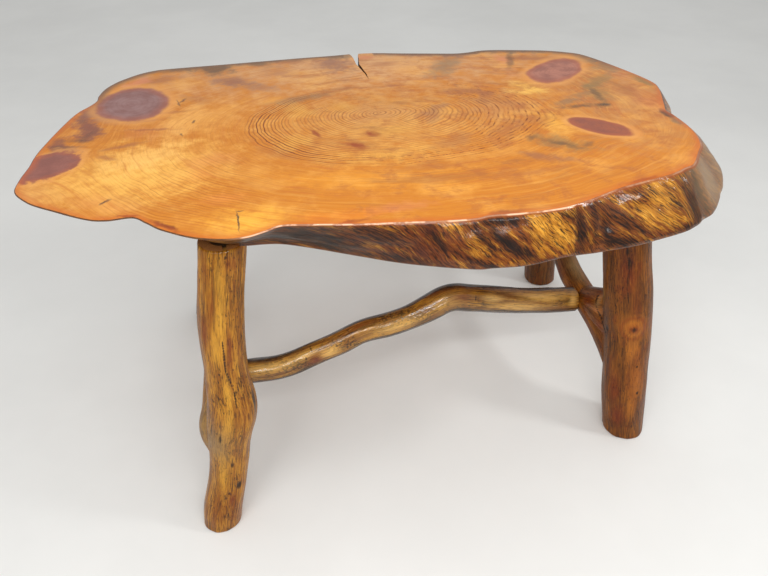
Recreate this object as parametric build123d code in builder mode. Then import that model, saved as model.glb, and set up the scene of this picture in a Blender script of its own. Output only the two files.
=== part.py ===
from build123d import *
import os

# Rustic slab table, in millimetres. +X runs along the table to its right end, +Y to the back, +Z up.
# The origin is on the floor, under the middle of the table's outline.

# ---- Driving dimensions ----
TABLE_HEIGHT = 737
SLAB_THICKNESS = 79
UNDERSIDE = TABLE_HEIGHT - SLAB_THICKNESS
BELLY_HEIGHT = UNDERSIDE + 6        # where the live edge reaches its lower outline
SHOULDER_HEIGHT = TABLE_HEIGHT - 33
SHOULDER_SHARE = 0.45               # part of the edge's slant reached at the shoulder height
SHOULDER_SWELL = 4                  # the edge is slightly convex
ARRIS_EASE = 4                      # the lower arris is rubbed back this much

TENON_RADIUS = 22                   # leg tenon, in the slab's blind mortise
TENON_LENGTH = 52
STRETCHER_TENON_RADIUS = 13
STRETCHER_TENON_LENGTH = 26
BRACE_TENON_RADIUS = 14
BRACE_TENON_LENGTH = 34
TENON_ROOT = 12                     # each tenon is rooted this deep in its own log

WEDGE_HEIGHT = 38
WEDGE_THICK_END = 7
WEDGE_THIN_END = 1.5

PEG_RADIUS = 4.5
FOOT_CHAMFER = 4

# ---- Natural outlines ----
# Live edge from the left tip along the front, the right end and the back: x and y of the top arris, and
# how far the lower arris stands out past it (less than 0 where the edge is undercut).
LIVE_EDGE = [
    (-632, -170, -92),
    (-620, -196, -108),
    (-592, -226, -122),
    (-550, -254, -134),
    (-505, -283, -140),
    (-472, -293, -136),
    (-434, -291, -126),
    (-412, -309, -128),
    (-388, -333, -128),
    (-342, -362, -103),
    (-295, -376, -94),
    (-260, -375, -92),
    (-232, -364, -86),
    (-208, -353, -64),
    (-166, -358, -46),
    (-91, -370, -22),
    (-30, -376, 0),
    (30, -383, 14),
    (85, -386, 28),
    (112, -381, 35),
    (170, -383, 34.8),
    (231, -379, 28),
    (280, -364, 42),
    (335, -341, 60),
    (375, -328, 64),
    (446, -310, 64),
    (484, -292, 58),
    (503, -284, 56),
    (519, -267, 54),
    (537, -243, 54),
    (557, -215, 54),
    (570, -180, 54),
    (576, -135, 56),
    (573, -85, 50),
    (569, -64, 44),
    (582, -30, 40),
    (608, 42, 24),
    (608, 90, 18),
    (573, 177, 16),
    (530, 258, 14),
    (493, 286, 12),
    (450, 304, 10),
    (393, 317, 10),
    (335, 328, 10),
    (299, 330, 8),
    (263, 323, 8),
    (234, 322, 8),
    (178, 332, 5),
    (110, 345, 0),
    (52, 357, -5),
    (0, 360, -8),
    (-60, 356, -10),
    (-124, 354, -12),
    (-238, 347, -16),
    (-327, 342, -20),
    (-417, 337, -24),
    (-447, 332, -26),
    (-477, 318, -28),
    (-505, 295, -30),
    (-525, 273, -30),
    (-543, 240, -30),
    (-551, 204, -28),
    (-551, 180, -26),
    (-562, 156, -28),
    (-582, 122, -32),
    (-600, 61, -40),
    (-613, 6, -48),
    (-623, -50, -56),
    (-626, -92, -66),
    (-631, -130, -80),
]

# Drying crack: its two walls from the back edge to the closed end.
CRACK_LEFT_WALL = [(-16, 380), (-5, 345), (-3, 330), (-2, 291), (3, 261), (9, 226)]
CRACK_END = (12, 196)
CRACK_RIGHT_WALL = [(12, 226), (8, 261), (5, 291), (9, 330), (10, 345), (18, 380)]

# Logs from the foot up: x, y, z of the log's middle, and its radius there.
FRONT_LEFT_LOG = [
    (-397, -327, 0, 39),
    (-390, -323, 42, 40),
    (-371, -316, 117, 38),
    (-361, -310, 173, 39),
    (-355, -304, 218, 42),
    (-350, -301, 249, 45),
    (-340, -297, 289, 47),
    (-336, -294, 319, 46),
    (-337, -289, 355, 43),
    (-337, -284, 394, 41),
    (-335, -277, 455, 42),
    (-327, -268, 535, 41),
    (-308, -251, UNDERSIDE, 41),
]
FRONT_RIGHT_LOG = [
    (558, -234, 0, 47),
    (544, -223, 102, 49.5),
    (533, -213, 195, 50),
    (519, -201, 302, 51),
    (506, -191, 383, 51),
    (488, -180, 479, 48),
    (457, -159, UNDERSIDE, 46),
]
BACK_RIGHT_LOG = [
    (566, 373, 0, 46),
    (549, 358, 100, 45),
    (523, 335, 230, 44),
    (500, 312, 360, 44),
    (475, 290, 500, 43),
    (448, 264, UNDERSIDE, 42),
]
BACK_LEFT_LOG = [
    (-430, 373, 0, 46),
    (-420, 366, 70, 44),
    (-404, 352, 160, 43),
    (-374, 325, 330, 42),
    (-345, 297, 500, 41),
    (-322, 272, UNDERSIDE, 40),
]

# Forked branches from inside the front logs to the back logs: x, y, z and radius.
RIGHT_BRACE = [
    (526, -206, 190, 38),
    (508, -180, 226, 33),
    (490, -142, 262, 30),
    (474, -90, 288, 30),
    (468, -45, 297, 28),
    (466, -8, 304, 27),
    (466, 22, 313, 26),
    (471, 110, 332, 26),
    (482, 200, 347, 25),
    (494, 276, 357, 24),
]
LEFT_BRACE = [
    (-356, -303, 186, 30),
    (-370, -277, 222, 43),
    (-370, -238, 250, 34),
    (-369, -190, 264, 31),
    (-369, -110, 278, 30),
    (-370, 0, 292, 29),
    (-372, 120, 306, 28),
    (-373, 220, 318, 26),
    (-374, 290, 326, 25),
]

# Web that fills the crotch of the right fork, in two lengths: x, y, z and radius.
RIGHT_WEB = [
    (511, -191, 362, 32),
    (494, -162, 333, 33),
    (482, -128, 316, 30),
    (475, -95, 300, 27),
]
RIGHT_WEB_HEART = [
    (512, -196, 285, 36),
    (497, -162, 292, 35),
    (483, -122, 297, 31),
    (475, -92, 295, 27),
]

# Crooked stretcher from the left brace to the right brace: x, y, z and radius.
STRETCHER = [
    (-343, -168, 264, 25),
    (-306, -164, 262, 26),
    (-238, -156, 259, 26),
    (-155, -146, 280, 25),
    (-110, -141, 294, 26.5),
    (-61, -135, 313, 26),
    (-3, -128, 318, 27),
    (47, -122, 327, 27.5),
    (92, -117, 343, 29.5),
    (137, -111, 358, 30.5),
    (184, -106, 348, 30),
    (245, -98, 329, 30),
    (308, -91, 311, 29.5),
    (373, -84, 296, 30),
    (446, -80, 287, 29),
]


def outward_normals():
    """Unit directions that point out of the live edge at each of its points."""
    count = len(LIVE_EDGE)
    normals = []
    for index in range(count):
        before = LIVE_EDGE[index - 1]
        after = LIVE_EDGE[(index + 1) % count]
        along = Vector(after[0] - before[0], after[1] - before[1]).normalized()
        normals.append((along.Y, -along.X))
    return normals


def edge_outline(share, extra):
    """The live edge's outline where it has covered this share of its slant, plus an extra offset."""
    points = []
    for (x, y, flare), (normal_x, normal_y) in zip(LIVE_EDGE, outward_normals()):
        offset = share * flare + extra
        points.append((x + offset * normal_x, y + offset * normal_y))
    return points


def round_section(plane, radius):
    """A round profile on a plane."""
    with BuildSketch(plane) as section:
        Circle(radius)
    return section.sketch


def upright_log(stations):
    """A log built from straight lengths between level round sections."""
    sections = [round_section(Plane((x, y, z)), radius) for x, y, z, radius in stations]
    loft(sections, ruled=True)


def path_direction(stations, index):
    """The direction of a branch at one of its stations."""
    before = Vector(*stations[max(index - 1, 0)][:3])
    after = Vector(*stations[min(index + 1, len(stations) - 1)][:3])
    return (after - before).normalized()


def branch(stations):
    """A branch built from straight lengths between round sections square to its direction."""
    sections = []
    for index, (x, y, z, radius) in enumerate(stations):
        square_plane = Plane(origin=(x, y, z), z_dir=path_direction(stations, index))
        sections.append(round_section(square_plane, radius))
    loft(sections, ruled=True)


def end_tenon(stations, index, outward, radius, length):
    """A round tenon that leaves a branch's end and is rooted in it."""
    direction = path_direction(stations, index) * outward
    root = Vector(*stations[index][:3]) - direction * TENON_ROOT
    extrude(round_section(Plane(origin=root, z_dir=direction), radius), amount=TENON_ROOT + length)


def top_tenon(log, mode=Mode.ADD):
    """The upright tenon on a log's top, or the mortise for it."""
    x, y, z, _ = log[-1]
    extrude(round_section(Plane((x, y, z)), TENON_RADIUS), amount=TENON_LENGTH, mode=mode)


def ease_foot():
    """Chamfer the lowest edge of the piece being built."""
    foot_edge = edges().group_by(Axis.Z)[0]
    chamfer(foot_edge, length=FOOT_CHAMFER)


def peg(start, direction, length, mode=Mode.SUBTRACT):
    """A peg, or the hole that it fills."""
    extrude(round_section(Plane(origin=start, z_dir=direction), PEG_RADIUS), amount=length, mode=mode)


# Each peg: where its outer end is, the way it points and its length.
BACK_RIGHT_PEG = ((541, 293, 360), (-1, 0, 0), 60)
BACK_LEFT_PEG = ((-413, 308, 329), (1, 0, 0), 58)
RIGHT_STRETCHER_PEG = ((466, -80, 262), (0, 0, 1), 46)
LEFT_STRETCHER_PEG = ((-356, -170, 236), (0, 0, 1), 43)
PEGS = [BACK_RIGHT_PEG, BACK_LEFT_PEG, RIGHT_STRETCHER_PEG, LEFT_STRETCHER_PEG]

LEG_LOGS = [FRONT_LEFT_LOG, FRONT_RIGHT_LOG, BACK_RIGHT_LOG, BACK_LEFT_LOG]
TENON_TOPS = [(log[-1][0], log[-1][1], UNDERSIDE + TENON_LENGTH) for log in LEG_LOGS]

# ---- Wedge in a leg tenon: it spreads the tenon along the slab's grain ----
with BuildPart() as wedge_shape:
    with BuildSketch(Plane.XZ):
        with BuildLine():
            Polyline(
                (-WEDGE_THICK_END / 2, 0),
                (WEDGE_THICK_END / 2, 0),
                (WEDGE_THIN_END / 2, -WEDGE_HEIGHT),
                (-WEDGE_THIN_END / 2, -WEDGE_HEIGHT),
                close=True,
            )
        make_face()
    extrude(amount=TENON_RADIUS, both=True)
    with BuildSketch(Plane.XY):
        Circle(TENON_RADIUS)
    extrude(amount=-WEDGE_HEIGHT, mode=Mode.INTERSECT)

with BuildPart() as leg_tenon_wedges:
    with Locations(*TENON_TOPS):
        add(wedge_shape.part)

with BuildPart() as joint_pegs:
    for peg_start, peg_direction, peg_length in PEGS:
        peg(peg_start, peg_direction, peg_length, mode=Mode.ADD)

# ---- Slab: four outlines joined by a straight-sided live edge ----
with BuildPart() as slab_top:
    for height, share, extra in [
        (UNDERSIDE, 1, -ARRIS_EASE),
        (BELLY_HEIGHT, 1, 0),
        (SHOULDER_HEIGHT, SHOULDER_SHARE, SHOULDER_SWELL),
        (TABLE_HEIGHT, 0, 0),
    ]:
        with BuildSketch(Plane.XY.offset(height)):
            with BuildLine():
                Spline(*edge_outline(share, extra), periodic=True)
            make_face()
    loft(ruled=True)
    for log in LEG_LOGS:
        top_tenon(log, mode=Mode.SUBTRACT)
    with BuildSketch(Plane.XY.offset(UNDERSIDE)):
        with BuildLine():
            Polyline(*CRACK_LEFT_WALL, CRACK_END, *CRACK_RIGHT_WALL, close=True)
        make_face()
    extrude(amount=SLAB_THICKNESS, mode=Mode.SUBTRACT)

# ---- Stretcher: its two ends are let into the braces ----
with BuildPart() as long_stretcher:
    branch(STRETCHER)
    end_tenon(STRETCHER, 0, -1, STRETCHER_TENON_RADIUS, STRETCHER_TENON_LENGTH)
    end_tenon(STRETCHER, len(STRETCHER) - 1, 1, STRETCHER_TENON_RADIUS, STRETCHER_TENON_LENGTH)


def forked_leg(log, fork_lengths, stretcher_peg, back_peg):
    """A front leg: the log with its own branch, which is tenoned into the leg behind."""
    upright_log(log)
    ease_foot()
    for stations in fork_lengths:
        branch(stations)
    brace = fork_lengths[0]
    end_tenon(brace, len(brace) - 1, 1, BRACE_TENON_RADIUS, BRACE_TENON_LENGTH)
    top_tenon(log)
    add(leg_tenon_wedges.part, mode=Mode.SUBTRACT)
    add(long_stretcher.part, mode=Mode.SUBTRACT)
    peg(*stretcher_peg)
    peg(*back_peg)


with BuildPart() as front_right_leg:
    right_fork = [RIGHT_BRACE, RIGHT_WEB, RIGHT_WEB_HEART]
    forked_leg(FRONT_RIGHT_LOG, right_fork, RIGHT_STRETCHER_PEG, BACK_RIGHT_PEG)

with BuildPart() as front_left_leg:
    forked_leg(FRONT_LEFT_LOG, [LEFT_BRACE], LEFT_STRETCHER_PEG, BACK_LEFT_PEG)


def back_leg(log, forked_front_leg, brace_peg):
    """A back leg, housed for the end of the brace."""
    upright_log(log)
    ease_foot()
    top_tenon(log)
    add(leg_tenon_wedges.part, mode=Mode.SUBTRACT)
    add(forked_front_leg.part, mode=Mode.SUBTRACT)
    peg(*brace_peg)


with BuildPart() as back_right_leg:
    back_leg(BACK_RIGHT_LOG, front_right_leg, BACK_RIGHT_PEG)

with BuildPart() as back_left_leg:
    back_leg(BACK_LEFT_LOG, front_left_leg, BACK_LEFT_PEG)

# ---- The stretcher's tenons take the pegs last, after the braces were cut to its full shape ----
with BuildPart() as pegged_stretcher:
    add(long_stretcher.part)
    peg(*RIGHT_STRETCHER_PEG)
    peg(*LEFT_STRETCHER_PEG)

# ---- One file for each node ----
os.makedirs("parts", exist_ok=True)
for node_name, node_part in [
    ("slab_top", slab_top.part),
    ("front_left_leg", front_left_leg.part),
    ("front_right_leg", front_right_leg.part),
    ("back_left_leg", back_left_leg.part),
    ("back_right_leg", back_right_leg.part),
    ("long_stretcher", pegged_stretcher.part),
    ("leg_tenon_wedges", leg_tenon_wedges.part),
    ("joint_pegs", joint_pegs.part),
]:
    node_part.label = node_name
    export_step(node_part, f"parts/{node_name}.step")
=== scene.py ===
import math

import bpy
import numpy as np
from bpy.props import FloatProperty, FloatVectorProperty, IntProperty, PointerProperty
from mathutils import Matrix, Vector, noise


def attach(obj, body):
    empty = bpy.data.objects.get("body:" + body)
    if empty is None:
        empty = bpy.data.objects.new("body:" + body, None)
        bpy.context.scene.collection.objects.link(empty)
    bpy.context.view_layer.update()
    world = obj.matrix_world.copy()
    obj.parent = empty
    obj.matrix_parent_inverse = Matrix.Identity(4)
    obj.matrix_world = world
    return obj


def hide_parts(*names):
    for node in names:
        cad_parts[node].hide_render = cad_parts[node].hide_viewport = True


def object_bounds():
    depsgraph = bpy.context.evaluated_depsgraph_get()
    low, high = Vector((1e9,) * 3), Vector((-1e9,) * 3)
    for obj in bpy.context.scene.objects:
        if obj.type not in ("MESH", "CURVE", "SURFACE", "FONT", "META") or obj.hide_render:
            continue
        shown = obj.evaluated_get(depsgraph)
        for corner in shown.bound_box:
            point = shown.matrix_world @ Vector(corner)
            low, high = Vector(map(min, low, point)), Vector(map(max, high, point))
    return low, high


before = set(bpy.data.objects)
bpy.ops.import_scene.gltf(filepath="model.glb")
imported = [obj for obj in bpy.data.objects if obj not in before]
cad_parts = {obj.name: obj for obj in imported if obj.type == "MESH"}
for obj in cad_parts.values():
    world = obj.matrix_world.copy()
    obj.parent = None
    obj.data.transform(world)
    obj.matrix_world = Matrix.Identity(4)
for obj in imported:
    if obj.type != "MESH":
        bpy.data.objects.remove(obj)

bl_info = {
    "name": "Rustic Slab Table",
    "version": (1, 0, 0),
    "blender": (4, 5, 0),
    "location": "View3D > Sidebar > Slab Table",
    "description": "Builds a live-edge slab table on natural forked log legs",
    "category": "Add Mesh",
}

CAD_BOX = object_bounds()
MM = 0.001

# ---------------------------------------------------------------- shape data, in millimetres unless said

TABLE_HEIGHT = 737
UNDERSIDE = 658
ARRIS_EASE = 4.0
SHOULDER = 0.7          # metres: faces above this height belong to the slab's top
TENON_SIDES = 48
TENON_ROOT = 0.012      # metres that a tenon reaches down into its log
TENON_PLAY = 0.0002     # metres between a tenon and its mortise
SAWN_OFF = 25           # how far a leg's log stands past its two saw cuts
STORED_UNDER = {"FLOAT": "value", "FLOAT_VECTOR": "vector", "FLOAT_COLOR": "color"}
TOP_SPANS = [-660, -330, -60, 230, 400, 660]    # x places where the top's finishes change
SPINE = (-330, 300)             # ends of the middle line that the flat faces' rings shrink towards
TOP_INSETS = (6, 14, 28, 60)    # how far in from the arris the top's rings lie
UNDERSIDE_INSETS = (6, 40)
EDGE_STEPS = (5, 73, 2.7)       # depths of the live edge's rings: first, last and step
TOP_FACE, EDGE_FACE, UNDER_FACE = 0, 1, 2       # kinds of face before the top is divided

# Live edge from the left tip along the front, the right end and the back: x and y of the top arris, and
# how far the lower arris stands out past it (less than 0 where the edge is undercut).
LIVE_EDGE = [
    (-632, -170, -92), (-620, -196, -108), (-592, -226, -122), (-550, -254, -134), (-505, -283, -140),
    (-472, -293, -136), (-434, -291, -126), (-412, -309, -128), (-388, -333, -128), (-342, -362, -103),
    (-295, -376, -94), (-260, -375, -92), (-232, -364, -86), (-208, -353, -64), (-166, -358, -46),
    (-91, -370, -22), (-30, -376, 0), (30, -383, 14), (85, -386, 28), (112, -381, 35), (170, -383, 34.8),
    (231, -379, 28), (280, -364, 42), (335, -341, 60), (375, -328, 64), (446, -310, 64), (484, -292, 58),
    (503, -284, 56), (519, -267, 54), (537, -243, 54), (557, -215, 54), (570, -180, 54), (576, -135, 56),
    (573, -85, 50), (569, -64, 44), (582, -30, 40), (608, 42, 24), (608, 90, 18), (573, 177, 16),
    (530, 258, 14), (493, 286, 12), (450, 304, 10), (393, 317, 10), (335, 328, 10), (299, 330, 8),
    (263, 323, 8), (234, 322, 8), (178, 332, 5), (110, 345, 0), (52, 357, -5), (0, 360, -8),
    (-60, 356, -10), (-124, 354, -12), (-238, 347, -16), (-327, 342, -20), (-417, 337, -24),
    (-447, 332, -26), (-477, 318, -28), (-505, 295, -30), (-525, 273, -30), (-543, 240, -30),
    (-551, 204, -28), (-551, 180, -26), (-562, 156, -28), (-582, 122, -32), (-600, 61, -40), (-613, 6, -48),
    (-623, -50, -56), (-626, -92, -66), (-631, -130, -80),
]  # fmt: skip

# Across the edge from the top down: depth, share of the flare reached, extra stand-out.
EDGE_PROFILE = [
    (0, 0, -5.2), (0.35, 0, -3.3), (1.2, 0, -1.6), (2.4, 0.01, -0.6), (4, 0.04, 0), (7, 0.09, 0.9),
    (17, 0.24, 3), (33, 0.46, 4.2), (48, 0.7, 3.2), (60, 0.89, 1.4), (68, 0.98, 0.2), (73, 1, -0.8),
    (76, 1, -1.8), (78.2, 1, -3.8), (79, 1, -6),
]  # fmt: skip

# Drying crack: its two walls from the back edge to the closed end.
CRACK_LEFT_WALL = [(-16, 380), (-5, 345), (-3, 330), (-2, 291), (3, 261), (9, 226)]
CRACK_END = (12, 196)
CRACK_MOUTH = 372     # where the crack opens into the back edge
CRACK_REACH = 34      # how far from its middle its sides lie at most
CRACK_RIGHT_WALL = [(12, 226), (8, 261), (5, 291), (9, 330), (10, 345), (18, 380)]

# Logs from the foot up and branches from the fork on: x, y, z and radius.
FRONT_LEFT_LOG = [
    (-397, -327, 0, 39), (-390, -323, 42, 40), (-371, -316, 117, 38), (-361, -310, 173, 39),
    (-355, -304, 218, 42), (-350, -301, 249, 45), (-340, -297, 289, 47), (-336, -294, 319, 46),
    (-337, -289, 355, 43), (-337, -284, 394, 41), (-335, -277, 455, 42), (-327, -268, 535, 41),
    (-308, -251, 658, 41),
]  # fmt: skip
FRONT_RIGHT_LOG = [
    (558, -234, 0, 47), (544, -223, 102, 49.5), (533, -213, 195, 50), (519, -201, 302, 51),
    (506, -191, 383, 51), (488, -180, 479, 48), (457, -159, 658, 46),
]  # fmt: skip
BACK_RIGHT_LOG = [
    (566, 373, 0, 46), (549, 358, 100, 45), (523, 335, 230, 44), (500, 312, 360, 44), (475, 290, 500, 43),
    (448, 264, 658, 42),
]  # fmt: skip
BACK_LEFT_LOG = [
    (-430, 373, 0, 46), (-420, 366, 70, 44), (-404, 352, 160, 43), (-374, 325, 330, 42),
    (-345, 297, 500, 41), (-322, 272, 658, 40),
]  # fmt: skip
RIGHT_BRACE = [
    (526, -206, 190, 38), (508, -180, 226, 33), (490, -142, 262, 30), (474, -90, 288, 30),
    (468, -45, 297, 28), (466, -8, 304, 27), (466, 22, 313, 26), (471, 110, 332, 26), (482, 200, 347, 25),
    (494, 276, 357, 24),
]  # fmt: skip
LEFT_BRACE = [
    (-356, -303, 186, 30), (-370, -277, 222, 43), (-370, -238, 250, 34), (-369, -190, 264, 31),
    (-369, -110, 278, 30), (-370, 0, 292, 29), (-372, 120, 306, 28), (-373, 220, 318, 26),
    (-374, 290, 326, 25),
]  # fmt: skip
# Web that fills the crotch of the right fork.
RIGHT_WEB = [(511, -191, 362, 32), (494, -162, 333, 33), (482, -128, 316, 30), (475, -95, 300, 27)]
RIGHT_WEB_HEART = [(512, -196, 285, 36), (497, -162, 292, 35), (483, -122, 297, 31), (475, -92, 295, 27)]
STRETCHER = [
    (-343, -168, 264, 25), (-306, -164, 262, 26), (-238, -156, 259, 26), (-155, -146, 280, 25),
    (-110, -141, 294, 26.5), (-61, -135, 313, 26), (-3, -128, 318, 27), (47, -122, 327, 27.5),
    (92, -117, 343, 29.5), (137, -111, 358, 30.5), (184, -106, 348, 30), (245, -98, 329, 30),
    (308, -91, 311, 29.5), (373, -84, 296, 30), (446, -80, 287, 29),
]  # fmt: skip
LEG_LOGS = [FRONT_LEFT_LOG, FRONT_RIGHT_LOG, BACK_RIGHT_LOG, BACK_LEFT_LOG]


# ---------------------------------------------------------------- general helpers


def colour(red, green, blue):
    """Turns a screen colour, 0 to 255 a channel, into the linear one that shaders use."""
    linear = []
    for channel in (red, green, blue):
        share = channel / 255
        linear.append(share / 12.92 if share <= 0.04045 else ((share + 0.055) / 1.055) ** 2.4)
    return (*linear, 1.0)


def leave_edit():
    """Goes back to object mode."""
    bpy.ops.object.mode_set(mode="OBJECT")


def deselect():
    """Deselects every piece."""
    bpy.ops.object.select_all(action="DESELECT")


def pick(piece):
    """Selects one piece alone and makes it active."""
    if bpy.context.object and bpy.context.object.mode != "OBJECT":
        leave_edit()
    deselect()
    piece.select_set(True)
    bpy.context.view_layer.objects.active = piece


def edit_all(piece):
    """Enters edit mode with all of one piece selected."""
    pick(piece)
    bpy.ops.object.mode_set(mode="EDIT")
    bpy.ops.mesh.select_all(action="SELECT")


def edit_chosen(piece, kind, chosen):
    """Enters edit mode with only the chosen points (VERT) or faces (FACE) of a piece selected."""
    edit_all(piece)
    bpy.ops.mesh.select_mode(type=kind)
    bpy.ops.mesh.select_all(action="DESELECT")
    leave_edit()
    parts = piece.data.vertices if kind == "VERT" else piece.data.polygons
    parts.foreach_set("select", chosen)
    bpy.ops.object.mode_set(mode="EDIT")


def turn_faces_out(piece):
    """Makes all faces of a closed piece point outwards."""
    edit_all(piece)
    bpy.ops.mesh.normals_make_consistent(inside=False)
    leave_edit()


def set_up(thing, settings):
    """Gives a modifier, a curve or a node its settings."""
    for key, value in settings.items():
        setattr(thing, key, value)


def apply_modifier(piece, kind, **settings):
    """Adds a modifier to a piece, sets it up and applies it."""
    pick(piece)
    bpy.ops.object.modifier_add(type=kind)
    modifier = piece.modifiers[-1]
    set_up(modifier, settings)
    bpy.ops.object.modifier_apply(modifier=modifier.name)


def cut_away(piece, cutter):
    """Cuts one piece's shape out of another and removes the cutter."""
    apply_modifier(piece, "BOOLEAN", operation="DIFFERENCE", solver="EXACT", object=cutter)
    bpy.data.objects.remove(cutter)


def read(parts, key, width=1, kind=np.float32):
    """One value, or one row of values, for each point or face of a mesh."""
    flat = np.empty(len(parts) * width, kind)
    parts.foreach_get(key, flat)
    return flat.reshape(-1, width).astype(float) if width > 1 else flat


def read_points(piece):
    """All the mesh points of a piece, in millimetres."""
    return read(piece.data.vertices, "co", 3) / MM


def write_points(piece, points):
    """Puts a piece's mesh points back, in millimetres."""
    piece.data.vertices.foreach_set("co", (points * MM).astype(np.float32).ravel())
    piece.data.update()


def face_kinds(piece):
    """The number of each face's material."""
    return read(piece.data.polygons, "material_index", kind=np.int32)


def hold_in_box(piece):
    """Keeps a piece's mesh points no further out than the CAD model's box."""
    low, high = (np.array(corner) / MM for corner in CAD_BOX)
    write_points(piece, np.clip(read_points(piece), low, high))


def store(piece, name, kind, values):
    """Stores one value for each mesh point under a name that the materials read."""
    attribute = piece.data.attributes.new(name=name, type=kind, domain="POINT")
    attribute.data.foreach_set(STORED_UNDER[kind], np.asarray(values, np.float32).ravel())


def unit_rows(rows):
    """Rows scaled to a length of 1."""
    return rows / np.linalg.norm(rows, axis=1)[:, None]


def turned_out(loop):
    """Unit directions that point out of a closed loop, at each of its points."""
    along = np.roll(loop, -1, axis=0) - np.roll(loop, 1, axis=0)
    return unit_rows(np.column_stack([along[:, 1], -along[:, 0]]))


def between(before, first, second, after, share):
    """The point of a smooth curve at a share of the way from the first to the second of its points."""
    return 0.5 * (
        2 * first + (second - before) * share
        + (2 * before - 5 * first + 4 * second - after) * share**2
        + (3 * first - before - 3 * second + after) * share**3
    )  # fmt: skip


def spread(places, centre, sizes):
    """Squared distance of each place from a centre, in units of the given half sizes."""
    offset = (places - np.array(centre)) / np.array(sizes)
    return np.einsum("ij,ij->i", offset, offset)


def ripple(places, sizes, offset=0.0):
    """Smooth noise, about -1 to 1, whose lumps have the given size along each axis."""
    scaled = places / np.array(sizes) + offset
    return np.array([noise.noise(Vector(place)) for place in scaled])


# ---------------------------------------------------------------- material wiring


class Wiring:
    """Builds one material out of nodes. Values may be numbers, colours or other nodes' sockets."""

    def __init__(self, name):
        self.material = bpy.data.materials.new(name)
        self.material.use_nodes = True
        self.tree = self.material.node_tree
        self.tree.nodes.clear()

    def feed(self, socket, value):
        """Links or sets one input."""
        if isinstance(value, bpy.types.NodeSocket):
            self.tree.links.new(value, socket)
        elif value is not None:
            socket.default_value = value

    def node(self, kind, inputs=(), **settings):
        """Adds one node with its settings and inputs."""
        made = self.tree.nodes.new(kind)
        set_up(made, settings)
        for key, value in dict(inputs).items():
            self.feed(made.inputs[key], value)
        return made

    def object_place(self):
        """The place on the object, in millimetres."""
        metres = self.node("ShaderNodeTexCoord").outputs["Object"]
        return self.node("ShaderNodeVectorMath", {0: metres, "Scale": 1 / MM}, operation="SCALE").outputs[0]

    def stored(self, name, output="Vector"):
        """A value stored on the mesh points."""
        return self.node("ShaderNodeAttribute", attribute_name=name).outputs[output]

    def parts(self, place):
        """The x, y and z of a place."""
        return self.node("ShaderNodeSeparateXYZ", {0: place}).outputs

    def stored_tones(self):
        """The shares of dark, red, bright and grey stored on the mesh points."""
        split = self.node("ShaderNodeSeparateColor", {0: self.stored("tone", "Color")}).outputs
        return split[0], split[1], split[2], self.stored("tone", "Alpha")

    def math(self, operation, first, second=0.5, clamp=False):
        made = self.node("ShaderNodeMath", {0: first, 1: second}, operation=operation, use_clamp=clamp)
        return made.outputs[0]

    def times(self, first, *others, clamp=False):
        for other in others:
            first = self.math("MULTIPLY", first, other, clamp)
        return first

    def plus(self, first, second, clamp=False):
        return self.math("ADD", first, second, clamp)

    def minus(self, first, second):
        return self.math("SUBTRACT", first, second)

    def larger(self, first, *others):
        for other in others:
            first = self.math("MAXIMUM", first, other)
        return first

    def wave(self, value, rate):
        """A wave that swings from -1 to 1 as the value grows."""
        return self.math("SINE", self.times(value, rate))

    def vector(self, operation, first, second=(0, 0, 0)):
        made = self.node("ShaderNodeVectorMath", {0: first, 1: second}, operation=operation)
        return made.outputs["Value" if operation == "LENGTH" else "Vector"]

    def flat(self, place):
        """A place with its height left out."""
        return self.vector("MULTIPLY", place, (1, 1, 0))

    def fade(self, value, start, end, low=0.0, high=1.0):
        """Goes smoothly from low to high while the value goes from start to end."""
        inputs = {"Value": value, "From Min": start, "From Max": end, "To Min": low, "To Max": high}
        made = self.node("ShaderNodeMapRange", inputs, interpolation_type="SMOOTHSTEP")
        return made.outputs["Result"]

    def mix(self, factor, first, second, blend="MIX"):
        made = self.node("ShaderNodeMix", data_type="RGBA", blend_type=blend)
        self.feed(made.inputs[0], factor)
        self.feed(made.inputs[6], first)
        self.feed(made.inputs[7], second)
        return made.outputs[2]

    def placed(self, place, centre=(0, 0, 0), turn=0.0, sizes=(1, 1, 1)):
        """A place measured from a centre, along turned axes, in units of the given sizes."""
        inputs = {"Vector": place, "Location": centre, "Rotation": (0, 0, math.radians(turn)), "Scale": sizes}
        return self.node("ShaderNodeMapping", inputs, vector_type="TEXTURE").outputs[0]

    def grain(self, place, sizes, detail=3.0, roughness=0.55, distortion=0.0, output=0):
        """Noise from 0 to 1 with lumps of the given sizes."""
        inputs = {
            "Vector": self.placed(place, sizes=sizes), "Scale": 1.0, "Detail": detail,
            "Roughness": roughness, "Distortion": distortion,
        }  # fmt: skip
        return self.node("ShaderNodeTexNoise", inputs).outputs[output]

    def shaken(self, place, source, sizes, reach, detail, roughness=0.55):
        """A place moved about by smooth noise that is read at the source, with lumps of the given sizes."""
        noise_there = self.grain(source, sizes, detail, roughness, output=1)
        away = self.vector("SUBTRACT", noise_there, (0.5, 0.5, 0.5))
        return self.vector("ADD", place, self.vector("MULTIPLY", away, reach))

    def patch(self, place, centre, radii, turn=0.0, soft=0.9, ragged=None):
        """1 inside an ellipse on the slab's top, fading to 0 over its outer soft share."""
        local = self.placed(place, (*centre, 0), turn, (*radii, 1))
        distance = self.vector("LENGTH", local)
        if ragged:
            distance = self.math("ADD", distance, ragged)
        return self.fade(distance, 1.0, 1.0 - soft)

    def layer(self, ground, amount, share, tone):
        """Lays a tone over the ground where a share from 0 to 1 allows it."""
        return self.mix(self.math("MULTIPLY", share, amount), ground, tone)

    def wash(self, ground, value, start, end, most, tone):
        """Lays up to the most of a tone over the ground while a value goes from start to end."""
        return self.mix(self.fade(value, start, end, 0.0, most), ground, tone)

    def bump(self, height, distance, strength):
        """Small relief of the given height in millimetres."""
        inputs = {"Height": height, "Distance": distance * MM, "Strength": strength}
        return self.node("ShaderNodeBump", inputs).outputs[0]

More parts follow.
